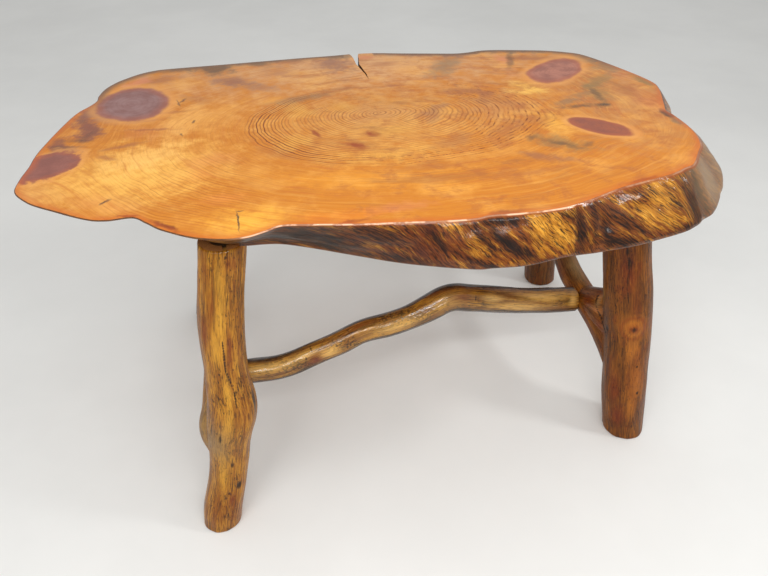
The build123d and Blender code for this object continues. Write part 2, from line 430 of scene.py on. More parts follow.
    def finish(self, base, roughness, normal=None, coat=0.8, coat_roughness=0.1, coat_normal=None, gloss=0.1):
        """Closes the material with a wood surface under a clear coat."""
        shader = self.node("ShaderNodeBsdfPrincipled")
        shader.inputs["Specular IOR Level"].default_value = gloss
        self.feed(shader.inputs["Base Color"], base)
        self.feed(shader.inputs["Roughness"], roughness)
        self.feed(shader.inputs["Normal"], normal)
        shader.inputs["Coat Weight"].default_value = coat
        shader.inputs["Coat Roughness"].default_value = coat_roughness
        self.feed(shader.inputs["Coat Normal"], coat_normal)
        output = self.node("ShaderNodeOutputMaterial")
        self.tree.links.new(shader.outputs[0], output.inputs["Surface"])
        return self.material


# ---------------------------------------------------------------- settings


def tint(name, description, *channels):
    """A colour that the user can change, given as a screen colour."""
    return FloatVectorProperty(
        name=name, description=description, subtype="COLOR", size=4, default=colour(*channels), min=0, max=1
    )


def length(name, description, default, low, high):
    """A length in metres that the user can change."""
    return FloatProperty(
        name=name, description=description, default=default, unit="LENGTH", min=low, max=high
    )


class SlabSettings(bpy.types.PropertyGroup):
    columns: IntProperty(
        name="Columns", description="Points round the live edge", default=1080, min=200, max=2000
    )
    lump_height: length("Lump height", "Height of the live edge's lumps", 0.0045, 0.0, 0.02)
    amber: tint("Amber", "Brightest colour of the top", 242, 178, 84)
    orange: tint("Orange", "Main colour of the top", 200, 122, 28)
    edge_gold: tint("Edge gold", "Light streaks of the live edge", 168, 107, 24)
    edge_dark: tint("Edge dark", "Dark streaks of the live edge", 34, 18, 11)


class LogSettings(bpy.types.PropertyGroup):
    voxel: length("Fineness", "Size of the logs' mesh faces", 0.0028, 0.002, 0.01)
    lump_height: length("Lump height", "Height of the lumps on the peeled logs", 0.0022, 0.0, 0.01)
    tenon_radius: length("Tenon radius", "Radius of the legs' top tenons", 0.022, 0.01, 0.03)
    tenon_length: length("Tenon length", "Length of the legs' top tenons", 0.052, 0.02, 0.06)
    gold: tint("Gold", "Lightest colour of the peeled logs", 194, 132, 36)
    brown: tint("Brown", "Middle colour of the peeled logs", 144, 86, 16)
    dark: tint("Dark", "Darkest colour of the peeled logs", 58, 30, 10)


class JoinerySettings(bpy.types.PropertyGroup):
    wedge: tint("Wedge", "Colour of the tenon wedges", 170, 126, 80)
    peg: tint("Peg", "Colour of the joint pegs", 176, 118, 62)


class StageSettings(bpy.types.PropertyGroup):
    floor: tint("Floor", "Colour of the floor", 240, 240, 237)
    light: FloatProperty(name="Light", description="Level of all the lamps", default=1.0, min=0.0, max=4.0)


# ---------------------------------------------------------------- slab


def smooth_loop(controls, places):
    """Points of a smooth closed curve through its control points, at places counted in control points."""
    start = np.floor(places).astype(int)
    around = [controls[(start + step) % len(controls)] for step in (-1, 0, 1, 2)]
    return between(*around, (places - start)[:, None])


def even_places(controls, columns):
    """Places along a smooth closed curve that are evenly spaced in length."""
    fine = np.linspace(0, len(controls), 40 * len(controls), endpoint=False)
    loop = smooth_loop(controls, fine)
    steps = np.linalg.norm(np.roll(loop, -1, axis=0) - loop, axis=1)
    length = np.concatenate([[0], np.cumsum(steps)])
    wanted = np.linspace(0, length[-1], columns, endpoint=False)
    return np.interp(wanted, length, np.append(fine, len(controls))), length[-1]


def slab_rings(columns):
    """Rings of the slab from the middle of its top, over the live edge, to the middle of its underside."""
    controls = np.array(LIVE_EDGE, float)
    outline, flare = controls[:, :2], controls[:, 2:]
    normals = turned_out(outline)
    places, perimeter = even_places(outline, columns)
    arc = np.linspace(0, perimeter, columns, endpoint=False)

    profile = np.array(EDGE_PROFILE)
    depths = np.unique(np.concatenate([profile[:, 0], np.arange(*EDGE_STEPS)]))
    rings = []
    for depth in depths:
        share = np.interp(depth, profile[:, 0], profile[:, 1])
        extra = np.interp(depth, profile[:, 0], profile[:, 2])
        loop = smooth_loop(outline + normals * (share * flare + extra), places)
        level = np.full(columns, TABLE_HEIGHT - depth)
        rings.append((np.column_stack([loop, level]), 0.0, depth))

    def towards_middle(loop, distance):
        target = np.column_stack([np.clip(loop[:, 0], *SPINE), np.zeros(columns)])
        return loop + unit_rows(target - loop) * distance

    top, bottom = rings[0][0], rings[-1][0]
    for inset in TOP_INSETS:
        inner = towards_middle(top[:, :2], inset)
        rings.insert(0, (np.column_stack([inner, top[:, 2]]), inset, 0.0))
    for inset in UNDERSIDE_INSETS:
        inner = towards_middle(bottom[:, :2], inset)
        rings.append((np.column_stack([inner, bottom[:, 2]]), inset, depths[-1]))
    return rings, arc


# Slant of the live edge's strands: place along the edge, and degrees down to the right.
STRAND_SLANT = [
    (0, 30), (420, 20), (520, 18), (620, 24), (700, 36), (750, 50), (850, 43), (940, 46), (990, 62),
    (1050, 42), (1170, 38), (1205, 74), (1260, 60), (1400, 40), (1700, 30), (2400, 38), (3300, 30),
]  # fmt: skip
# Lumps and folds of the live edge: place along it, depth, half length, half height, how far they stand out.
EDGE_LUMPS = [
    (1102, 12, 24, 10, 8.5), (1062, 30, 26, 13, 3), (1130, 30, 34, 20, 3.5), (972, 36, 8, 44, -6),
    (990, 30, 10, 36, 3.5), (1012, 40, 8, 30, -4), (1203, 34, 7, 44, 7), (1222, 34, 9, 40, -4.5),
    (905, 73, 13, 5, 3.5), (928, 71, 12, 5, 4.5), (955, 69, 14, 6, 3.5), (880, 74, 12, 4, 2.5),
    (757, 30, 12, 40, 2.5), (740, 40, 10, 34, -3), (835, 14, 22, 6, -3), (560, 50, 70, 8, 2.5),
    (1330, 34, 20, 30, 4), (1420, 40, 16, 34, -4), (1560, 30, 26, 24, 4), (1760, 44, 30, 20, 4),
    (1900, 30, 14, 40, -4), (2150, 36, 34, 24, 4), (2420, 30, 16, 34, -3.5), (2650, 44, 30, 22, 4),
    (2900, 34, 16, 30, -4), (3120, 40, 30, 22, 3.5), (180, 40, 34, 18, 4), (330, 30, 20, 30, -3),
]  # fmt: skip
# Tones of the live edge by kind: place along it, depth, half length, half height, turn in degrees, strength.
EDGE_TONES = {
    "dark": [
        (500, 36, 46, 30, 10, 0.85), (560, 62, 60, 12, 12, 0.9), (560, 20, 60, 8, 14, 0.45),
        (610, 64, 60, 9, 12, 0.6), (700, 66, 50, 8, 8, 0.55), (738, 24, 26, 7, 48, 0.65),
        (812, 30, 30, 5, 42, 0.9), (842, 8, 34, 6, 4, 0.85), (846, 36, 38, 8, 40, 0.95),
        (872, 50, 34, 8, 34, 0.8), (800, 62, 40, 6, 24, 0.5), (958, 14, 16, 5, 44, 0.6),
        (972, 40, 9, 36, 0, 0.85), (998, 24, 12, 26, 10, 0.6), (1012, 48, 10, 22, 0, 0.75),
        (1045, 36, 30, 8, 36, 0.55), (1030, 62, 40, 8, 10, 0.75), (1075, 50, 22, 7, 34, 0.55),
        (1165, 34, 16, 6, 40, 0.5), (1196, 44, 12, 34, 0, 0.75), (1222, 36, 8, 34, 0, 0.8),
        (1176, 68, 40, 7, 0, 0.6), (1640, 40, 60, 22, 20, 0.6), (2300, 44, 80, 22, 20, 0.7),
        # The broad patches at 300, 450, 555 and 650 darken the undercut left part of the edge: partly dark
        # wood, partly painted shade.
        (3000, 44, 90, 22, 10, 0.7), (450, 40, 60, 40, 0, 0.85), (555, 40, 80, 34, 8, 0.85),
        (650, 24, 50, 18, 16, 0.6), (300, 44, 150, 24, 6, 0.6),
    ],
    "red": [
        (640, 40, 50, 26, 20, 0.4), (716, 14, 34, 10, 8, 0.95), (726, 52, 40, 20, 30, 0.8),
        (776, 44, 26, 14, 42, 0.6), (1000, 8, 14, 6, 0, 0.7), (1110, 64, 50, 8, 4, 0.6),
        (1205, 24, 8, 30, 0, 0.8), (935, 74, 50, 5, 0, 0.9), (1800, 40, 90, 26, 20, 0.5),
        (2780, 40, 90, 26, 20, 0.5), (3300, 40, 90, 26, 20, 0.5), (130, 30, 90, 22, 8, 0.5),
    ],
    "bright": [
        (768, 8, 22, 6, 20, 1), (792, 22, 26, 7, 42, 0.85), (858, 22, 24, 5, 40, 0.45),
        (905, 18, 24, 12, 36, 0.95), (940, 34, 26, 14, 40, 0.95), (925, 8, 30, 5, 0, 0.6),
        (1052, 16, 22, 8, 30, 0.6), (1098, 34, 26, 10, 30, 0.8), (1140, 22, 30, 12, 30, 1),
        (1128, 48, 28, 8, 30, 0.65), (1500, 30, 70, 22, 20, 0.6), (2000, 30, 90, 22, 10, 0.5),
        (2600, 26, 80, 20, 20, 0.5), (400, 14, 60, 8, 6, 0.35),
    ],
    "grey": [
        # The grey patches at the right end are a painted reflection of a pale wall.
        (1262, 30, 40, 52, 0, 1), (1330, 34, 60, 46, 0, 0.75),
    ],
}  # fmt: skip
TONE_CHANNELS = {"dark": 0, "crack": 0, "red": 1, "red ring": 1, "bright": 2, "grey": 3}
STRAND_STEP = 4.0       # how finely the strands' slant is followed


def strand_field(arc, depth):
    """Two coordinates of the live edge: along its slanting strands, and across them."""
    knots = np.array(STRAND_SLANT, float)
    fine = np.arange(0, knots[-1, 0] + 400, STRAND_STEP)
    slant = np.radians(np.interp(fine, knots[:, 0], knots[:, 1]))
    run = np.concatenate([[0], np.cumsum(np.cos(slant[1:]) * STRAND_STEP)])
    drop = np.concatenate([[0], np.cumsum(np.sin(slant[1:]) * STRAND_STEP)])
    here = np.interp(arc, fine, slant)
    along = np.interp(arc, fine, run) + depth * np.sin(here)
    across = depth * np.cos(here) - np.interp(arc, fine, drop)
    return along, across


def edge_lumps(piece, arc, depth, strands, normals, height):
    """Raises the natural lumps, folds and strands of the live edge."""
    points = read_points(piece)
    side = np.clip(np.sin(np.pi * np.clip(depth / (TABLE_HEIGHT - UNDERSIDE), 0, 1)), 0, 1) ** 0.6
    round_edge = np.column_stack([points[:, 0], points[:, 1], depth * 1.2])
    broad = ripple(round_edge, (62, 62, 42), 3.1)
    middle = ripple(round_edge, (24, 24, 18), 7.7)
    wavy = np.column_stack([strands[0], strands[1] + 5 * middle, np.zeros(len(arc))])
    ridges = ripple(wavy, (52, 11, 1), 1.3)
    lift = height * (broad * 0.8 + middle * 0.4) + 0.9 * ridges
    for place, level, long, tall, stand_out in EDGE_LUMPS:
        lift += stand_out * np.exp(-(((arc - place) / long) ** 2) - ((depth - level) / tall) ** 2)
    points[:, :2] += normals * (side * lift)[:, None]
    write_points(piece, points)
    hold_in_box(piece)


def edge_tones(arc, depth):
    """Shares of dark, red, gold and grey at each point of the live edge."""
    tones = np.zeros((len(arc), 4))
    for kind, rows in EDGE_TONES.items():
        channel = TONE_CHANNELS[kind]
        for place, level, long, tall, turn, amount in rows:
            angle = math.radians(turn)
            right, down = arc - place, depth - level
            first = (right * math.cos(angle) + down * math.sin(angle)) / long
            second = (down * math.cos(angle) - right * math.sin(angle)) / tall
            share = amount * np.exp(-(first**2) - second**2)
            tones[:, channel] = np.maximum(tones[:, channel], share)
    return tones


def build_slab(settings):
    """Extrudes a ring over the live edge, closes its faces and gives every ring its place."""
    columns = settings.columns
    rings, arc = slab_rings(columns)
    deselect()
    bpy.ops.mesh.primitive_circle_add(vertices=columns, radius=1.0, fill_type="NOTHING")
    slab = bpy.context.object
    slab.name = slab.data.name = "live_edge_slab"
    edit_all(slab)
    for _ in rings[1:]:
        bpy.ops.mesh.extrude_region_move(TRANSFORM_OT_translate={"value": (0, 0, -1)})
    leave_edit()

    raw = read_points(slab) * MM
    ring_of = np.rint(-raw[:, 2]).astype(int)
    turn = np.arctan2(raw[:, 1], raw[:, 0]) / (2 * math.pi) * columns
    start_turn = math.atan2(raw[0, 1], raw[0, 0]) / (2 * math.pi) * columns
    column_of = np.rint(turn - start_turn).astype(int) % columns

    for mesh_ring in (0, len(rings) - 1):
        edit_chosen(slab, "VERT", ring_of == mesh_ring)
        bpy.ops.mesh.edge_face_add()
        leave_edit()

    loops = np.array([ring[0] for ring in rings])
    inset = np.array([ring[1] for ring in rings])[ring_of]
    depth = np.array([ring[2] for ring in rings])[ring_of]
    write_points(slab, loops[ring_of, column_of])
    turn_faces_out(slab)

    place = arc[column_of]
    store(slab, "inset", "FLOAT", inset)
    strands = strand_field(place, depth)
    store(slab, "strand", "FLOAT_VECTOR", np.column_stack([*strands, depth]))
    store(slab, "tone", "FLOAT_COLOR", edge_tones(place, depth))
    outward = turned_out(loops[len(rings) // 2][:, :2])[column_of]
    edge_lumps(slab, place, depth, strands, outward, settings.lump_height / MM)

    face_ring = np.array([min(ring_of[v] for v in face.vertices) for face in slab.data.polygons])
    face_kind = np.where(face_ring <= len(TOP_INSETS), TOP_FACE, EDGE_FACE)
    face_kind[face_ring >= len(rings) - len(UNDERSIDE_INSETS) - 2] = UNDER_FACE
    face_kind[[len(face.vertices) > 4 and face.center.z > SHOULDER for face in slab.data.polygons]] = TOP_FACE
    slab.data.polygons.foreach_set("material_index", face_kind)
    split_top(slab)
    return slab


def split_top(slab):
    """Divides the top's faces into spans, each with a finish that holds only the stains near it."""
    cuts = TOP_SPANS[1:-1]
    for place in cuts:
        edit_chosen(slab, "FACE", face_kinds(slab) == TOP_FACE)
        bpy.ops.mesh.bisect(plane_co=(place * MM, 0, 0), plane_no=(1, 0, 0))
        bpy.ops.mesh.select_mode(type="VERT")
        leave_edit()
    kinds = face_kinds(slab)
    spans = np.searchsorted(cuts, [face.center.x / MM for face in slab.data.polygons])
    slab.data.polygons.foreach_set("material_index", np.where(kinds == TOP_FACE, spans, kinds + len(cuts)))


def crack_cutter():
    """A plug in the shape of the drying crack, with rough walls."""
    walls = np.array([*CRACK_LEFT_WALL, CRACK_END, *CRACK_RIGHT_WALL], float)
    deselect()
    bpy.ops.mesh.primitive_circle_add(vertices=len(walls), radius=1.0, fill_type="NGON")
    cutter = bpy.context.object
    outline = np.column_stack([walls, np.full(len(walls), UNDERSIDE - 10)]) * MM
    cutter.data.vertices.foreach_set("co", outline.ravel())
    edit_all(cutter)
    bpy.ops.mesh.extrude_region_move(TRANSFORM_OT_translate={"value": (0, 0, 0.1)})
    bpy.ops.mesh.select_all(action="SELECT")
    bpy.ops.mesh.subdivide(number_cuts=7)
    bpy.ops.mesh.quads_convert_to_tris()
    turn_faces_out(cutter)
    points = read_points(cutter)
    roughened = points[:, 1] > CRACK_END[1] + 9     # the closed end stays as it is
    points[:, 0] += 1.3 * ripple(points, (30, 14, 26), 5.5) * roughened
    cutter.data.vertices.foreach_set("co", (points * MM).ravel())
    return cutter


def clear_crack_sides(slab):
    """Keeps the tone of the rim's orange-red band and grey-brown line away from the crack's sides."""
    stored = slab.data.attributes["inset"].data
    inset = read(stored, "value")
    places = read_points(slab)
    beside = (np.abs(places[:, 0] - CRACK_END[0]) < CRACK_REACH) & (places[:, 1] > CRACK_END[1] - 10)
    inset[beside] = np.maximum(inset[beside], CRACK_MOUTH - places[beside, 1])
    stored.foreach_set("value", inset)


def cut_mortises(slab, settings):
    """Cuts the four blind holes for the legs' tenons into the underside."""
    for log in LEG_LOGS:
        x, y = log[-1][:2]
        depth = settings.tenon_length + 0.02    # the cutter sticks out below the slab
        deselect()
        bpy.ops.mesh.primitive_cylinder_add(
            vertices=TENON_SIDES, radius=settings.tenon_radius, depth=depth,
            location=(x * MM, y * MM, UNDERSIDE * MM + settings.tenon_length - depth / 2),
        )  # fmt: skip
        cut_away(slab, bpy.context.object)


# ---------------------------------------------------------------- slab materials

# Knots in the top: centre, radii, turn, colour of the heart.
KNOTS = [
    ((-476, 154), (70, 84), 8, colour(148, 112, 108)),
    ((428, 175), (85, 50), 40, colour(174, 114, 94)),
    ((406, -108), (61, 34), -40, colour(156, 86, 58)),
    ((-594, -98), (66, 44), 46, colour(148, 92, 80)),
]
# Broad colours of the top: centre, radii, turn, colour, strength.
ZONES = [
    ((0, 300), (760, 300), 0, (210, 162, 114), 0.85), ((520, 40), (280, 420), 0, (188, 132, 78), 0.8),
    ((10, -20), (340, 230), 0, (222, 164, 82), 0.8), ((250, 10), (120, 110), 0, (190, 132, 78), 0.65),
    ((0, 24), (140, 90), 0, (196, 138, 82), 0.6), ((-10, -150), (150, 54), 0, (236, 174, 74), 0.7),
    ((-600, -190), (90, 90), 0, (224, 162, 88), 0.8), ((-440, -150), (240, 170), 14, (244, 184, 84), 1),
    ((-372, 50), (56, 130), -18, (244, 186, 104), 0.75),
    ((-430, -95), (120, 62), 30, (250, 194, 104), 0.8), ((-318, -125), (74, 44), 10, (218, 142, 68), 0.75),
    ((-480, -245), (120, 40), -30, (216, 142, 72), 0.6),
    ((-255, -335), (110, 66), 0, (240, 174, 60), 1), ((-330, 60), (150, 130), 0, (228, 160, 72), 0.65),
    ((-80, -230), (300, 70), -6, (230, 152, 40), 0.6), ((70, -290), (70, 36), 0, (236, 164, 60), 0.55),
    ((328, -78), (52, 100), 8, (236, 172, 66), 0.95), ((330, 92), (60, 70), -26, (240, 186, 84), 0.95),
    ((-95, 225), (60, 70), 0, (232, 172, 92), 0.55), ((95, 240), (60, 60), 0, (226, 164, 92), 0.6),
    ((-390, 215), (60, 60), 0, (222, 158, 92), 0.6), ((510, -170), (110, 60), 20, (186, 120, 54), 0.8),
    ((556, -20), (40, 90), 8, (206, 124, 66), 0.7), ((560, 130), (46, 60), 12, (202, 138, 92), 0.6),
    ((-560, 90), (46, 160), 10, (186, 108, 62), 0.7), ((-440, 20), (60, 40), 10, (196, 116, 66), 0.6),
    ((-330, -170), (50, 36), 30, (222, 138, 52), 0.6), ((-300, -260), (50, 30), 0, (226, 140, 58), 0.55),
    ((330, 190), (50, 60), -20, (210, 140, 84), 0.6), ((-120, -340), (120, 26), 0, (222, 128, 30), 0.6),
]  # fmt: skip
# Stains: centre, radii, turn, tone, strength.
STAINS = [
    ((-316, 318), (68, 61), -30, "slate", 0.8), ((-216, 330), (49, 34), 0, "slate", 0.62),
    ((-395, 322), (85, 22), 10, "slate", 0.5), ((-276, 232), (68, 41), -28, "mauve", 0.72),
    ((-230, 196), (73, 32), -14, "mauve", 0.45), ((-145, 116), (93, 26), 12, "grey", 0.45),
    ((-52, 300), (61, 81), 14, "mauve", 0.7), ((-30, 345), (61, 24), 0, "grey", 0.7),
    ((140, 330), (68, 27), -8, "mauve", 0.85), ((196, 250), (44, 127), -32, "grey", 0.6),
    ((235, 315), (49, 37), 0, "mauve", 0.7), ((346, 250), (14, 74), -16, "slate", 0.61),
    ((362, 312), (73, 22), -4, "grey", 0.85), ((290, 322), (61, 17), 4, "slate", 0.75),
    ((440, 296), (110, 20), -10, "grey", 0.6), ((498, 106), (30, 81), -48, "green", 0.6),
    ((592, 90), (22, 81), 10, "green", 0.9), ((545, 178), (44, 63), 28, "grey", 0.6),
    ((470, 40), (44, 70), -8, "green", 0.5), ((462, 36), (12, 48), -2, "slate", 0.6),
    ((456, -16), (29, 18), 20, "slate", 0.9), ((402, -15), (52, 15), 2, "slate", 0.66),
    ((388, 8), (49, 20), 8, "grey", 0.55), ((430, 40), (49, 17), 24, "grey", 0.45),
    ((562, -82), (17, 32), 8, "slate", 0.95), ((566, -116), (22, 29), 0, "grey", 0.8),
    ((306, -160), (88, 36), -36, "green", 0.65), ((300, -160), (58, 13), -34, "slate", 0.38),
    ((262, -135), (14, 20), -30, "slate", 0.49), ((356, -178), (30, 10), 34, "slate", 0.4),
    ((318, -176), (44, 10), -34, "slate", 0.3), ((252, -206), (44, 24), -30, "mauve", 0.45),
    ((300, -225), (32, 15), -20, "mauve", 0.4), ((106, -2), (34, 58), -20, "mauve", 0.45),
    ((130, 30), (37, 17), 30, "mauve", 0.45), ((205, 95), (76, 27), -16, "brown", 0.8),
    ((240, 70), (24, 54), -30, "brown", 0.6), ((-24, -68), (26, 18), -20, "red", 0.95),
    ((-66, -104), (38, 12), -30, "red", 0.95), ((-52, -118), (14, 20), 0, "red", 0.6),
    ((-127, -46), (8, 36), 24, "red", 0.95), ((60, 155), (34, 12), -4, "brown", 0.7),
    ((300, -60), (73, 32), -10, "brown", 0.4), ((230, -90), (73, 37), 50, "brown", 0.5),
    ((120, -120), (73, 32), 30, "brown", 0.45), ((-552, 62), (32, 80), 14, "purple", 0.9),
    ((-562, 84), (12, 30), 20, "slate", 0.25), ((-538, 16), (34, 40), -34, "purple", 0.85),
    ((-560, -4), (52, 12), -12, "slate", 0.35), ((-574, -46), (34, 50), 28, "purple", 0.9),
    ((-590, -14), (30, 40), 10, "purple", 0.8), ((-548, 196), (49, 85), 14, "brown", 0.8),
    ((-552, 122), (29, 66), -16, "mauve", 0.85), ((-500, 84), (80, 32), 0, "mauve", 0.7),
    ((-534, 120), (40, 52), 30, "mauve", 0.7), ((-480, -236), (16, 5), 44, "slate", 0.9),
    ((-440, -284), (26, 6), -4, "ember", 0.85), ((-380, -325), (52, 8), -40, "ember", 0.85),
    ((-386, 140), (3, 24), 12, "slate", 0.9), ((-378, 148), (3, 22), -28, "slate", 0.8),
    ((-352, 44), (3, 12), 0, "slate", 0.8), ((-372, -10), (3, 11), 20, "slate", 0.7),
    ((-273, -328), (2.4, 40), 4, "slate", 0.95), ((-268, -300), (9, 2.5), 0, "slate", 0.9),
    ((136, -379), (46, 14), 2, "slate", 0.74), ((60, -386), (40, 6), 0, "ember", 0.8),
    ((-120, -364), (70, 7), 8, "ember", 0.7), ((400, -316), (60, 8), 14, "ember", 0.7),
    ((-150, 60), (40, 60), 20, "gold", 0.5), ((-60, 60), (40, 40), 0, "gold", 0.45),
    ((20, -60), (60, 30), 0, "gold", 0.45), ((-170, -80), (60, 40), 40, "gold", 0.5),
    ((-420, 190), (29, 73), -20, "brown", 0.3), ((-180, 280), (49, 49), 0, "brown", 0.4),
    ((-545, 34), (30, 56), 10, "purple", 0.8), ((-580, -46), (34, 40), -30, "purple", 0.85),
    ((-545, 10), (12, 44), -30, "slate", 0.3), ((-570, -28), (52, 9), -8, "slate", 0.4),
    ((-452, 62), (80, 11), 8, "brown", 0.75), ((-430, 22), (70, 9), -6, "brown", 0.7),
    ((-476, -40), (60, 11), 16, "brown", 0.7), ((-392, 96), (56, 9), 6, "brown", 0.55),
    ((-500, -80), (40, 12), -30, "brown", 0.6), ((-350, 150), (50, 30), -30, "brown", 0.45),
    ((-430, 270), (60, 30), 10, "brown", 0.6), ((-150, 330), (60, 24), 4, "brown", 0.6),
    ((-120, 240), (70, 16), -8, "brown", 0.45), ((60, 280), (50, 24), 10, "brown", 0.45),
    ((430, 250), (90, 18), -14, "brown", 0.6), ((520, 230), (30, 50), 30, "grey", 0.6),
    ((470, 80), (46, 16), 30, "green", 0.6), ((540, 20), (24, 60), 8, "brown", 0.5),
    ((-200, -120), (70, 26), -30, "brown", 0.35), ((60, -210), (110, 16), 4, "brown", 0.35),
    ((220, -260), (110, 14), 10, "brown", 0.4), ((-480, 262), (50, 26), 30, "rose", 0.7),
    ((330, 262), (24, 40), 0, "rose", 0.6), ((20, 330), (40, 20), 0, "rose", 0.5),
    ((-20, -330), (80, 26), 0, "rose", 0.3),
]  # fmt: skip
STAIN_COLOURS = {
    "grey": colour(126, 104, 78),
    "green": colour(144, 112, 66),
    "mauve": colour(134, 88, 74),
    "slate": colour(80, 62, 48),
    "purple": colour(134, 80, 62),
    "red": colour(150, 68, 28),
    "brown": colour(162, 96, 52),
    "ember": colour(104, 34, 14),
    "rose": colour(214, 132, 92),
    "gold": colour(224, 164, 68),
}
PITH = (2, 26)
OUTER_CENTRE = (40, -11)
RING_RADII = (295, 181)
RING_COUNT = 35
KNOT_PULL = 0.15        # how far the growth rings swing round a knot
WANDER = 40             # how far a stain's ragged outline can stray
KNOT_HALO = 60          # how far a knot's halo can reach past that
FRAYED_END = -550       # knots to the left of this x have ragged outlines


def growth_ring_radius(wires, place):
    """1 on the outer strong growth ring and 0 at the pith, which lies off the rings' middle."""
    local = wires.placed(place, (*PITH, 0), 0, (*RING_RADII, 1))
    shift = tuple((outer - pith) / size for outer, pith, size in zip(OUTER_CENTRE, PITH, RING_RADII))
    radius = wires.vector("LENGTH", local)
    for _ in range(3):  # each round shifts the rings' middle by the radius found so far
        moved = wires.node("ShaderNodeVectorMath", {0: (*shift, 0), "Scale": radius}, operation="SCALE")
        radius = wires.vector("LENGTH", wires.vector("SUBTRACT", local, moved.outputs[0]))
    for centre, radii, turn, _ in KNOTS:
        wide = (radii[0] * 2.3, radii[1] * 2.3)
        pull = wires.patch(place, centre, wide, turn, 1.0)
        radius = wires.minus(radius, wires.times(pull, KNOT_PULL))
    return radius


def ring_strengths(wires, flat, slow, radius):
    """How strongly the growth rings show at each place of the top, and where they show at all."""
    east, north, _ = wires.parts(slow)
    inside = wires.fade(radius, 1.03, 0.99)
    dashes = wires.fade(wires.grain(flat, (9, 24, 1), 2), 0.44, 0.6)
    outer_band = wires.times(wires.fade(radius, 0.6, 0.84), inside)
    left = wires.times(outer_band, wires.fade(east, 10, -150))
    right = wires.times(wires.fade(radius, 0.3, 0.6), inside, dashes, wires.fade(east, 90, 200))
    low = wires.times(outer_band, dashes, wires.fade(north, -90, -160))
    chatter = wires.patch(slow, (-350, -215), (190, 170), 30, 0.7)
    heart = wires.times(wires.fade(radius, 1.0, 0.2), 0.5)
    weaker = (wires.times(right, 0.8), wires.times(low, 0.8), wires.times(chatter, 0.32), 0.08)
    return wires.larger(left, heart, *weaker), inside


def near_span(patches, low, high):
    """The patches whose ellipse can reach a span of the top between two x places."""
    near = []
    for patch in patches:
        (x, _), reach = patch[0], max(patch[1]) + WANDER
        if low < x + reach and x - reach < high:
            near.append(patch)
    return near


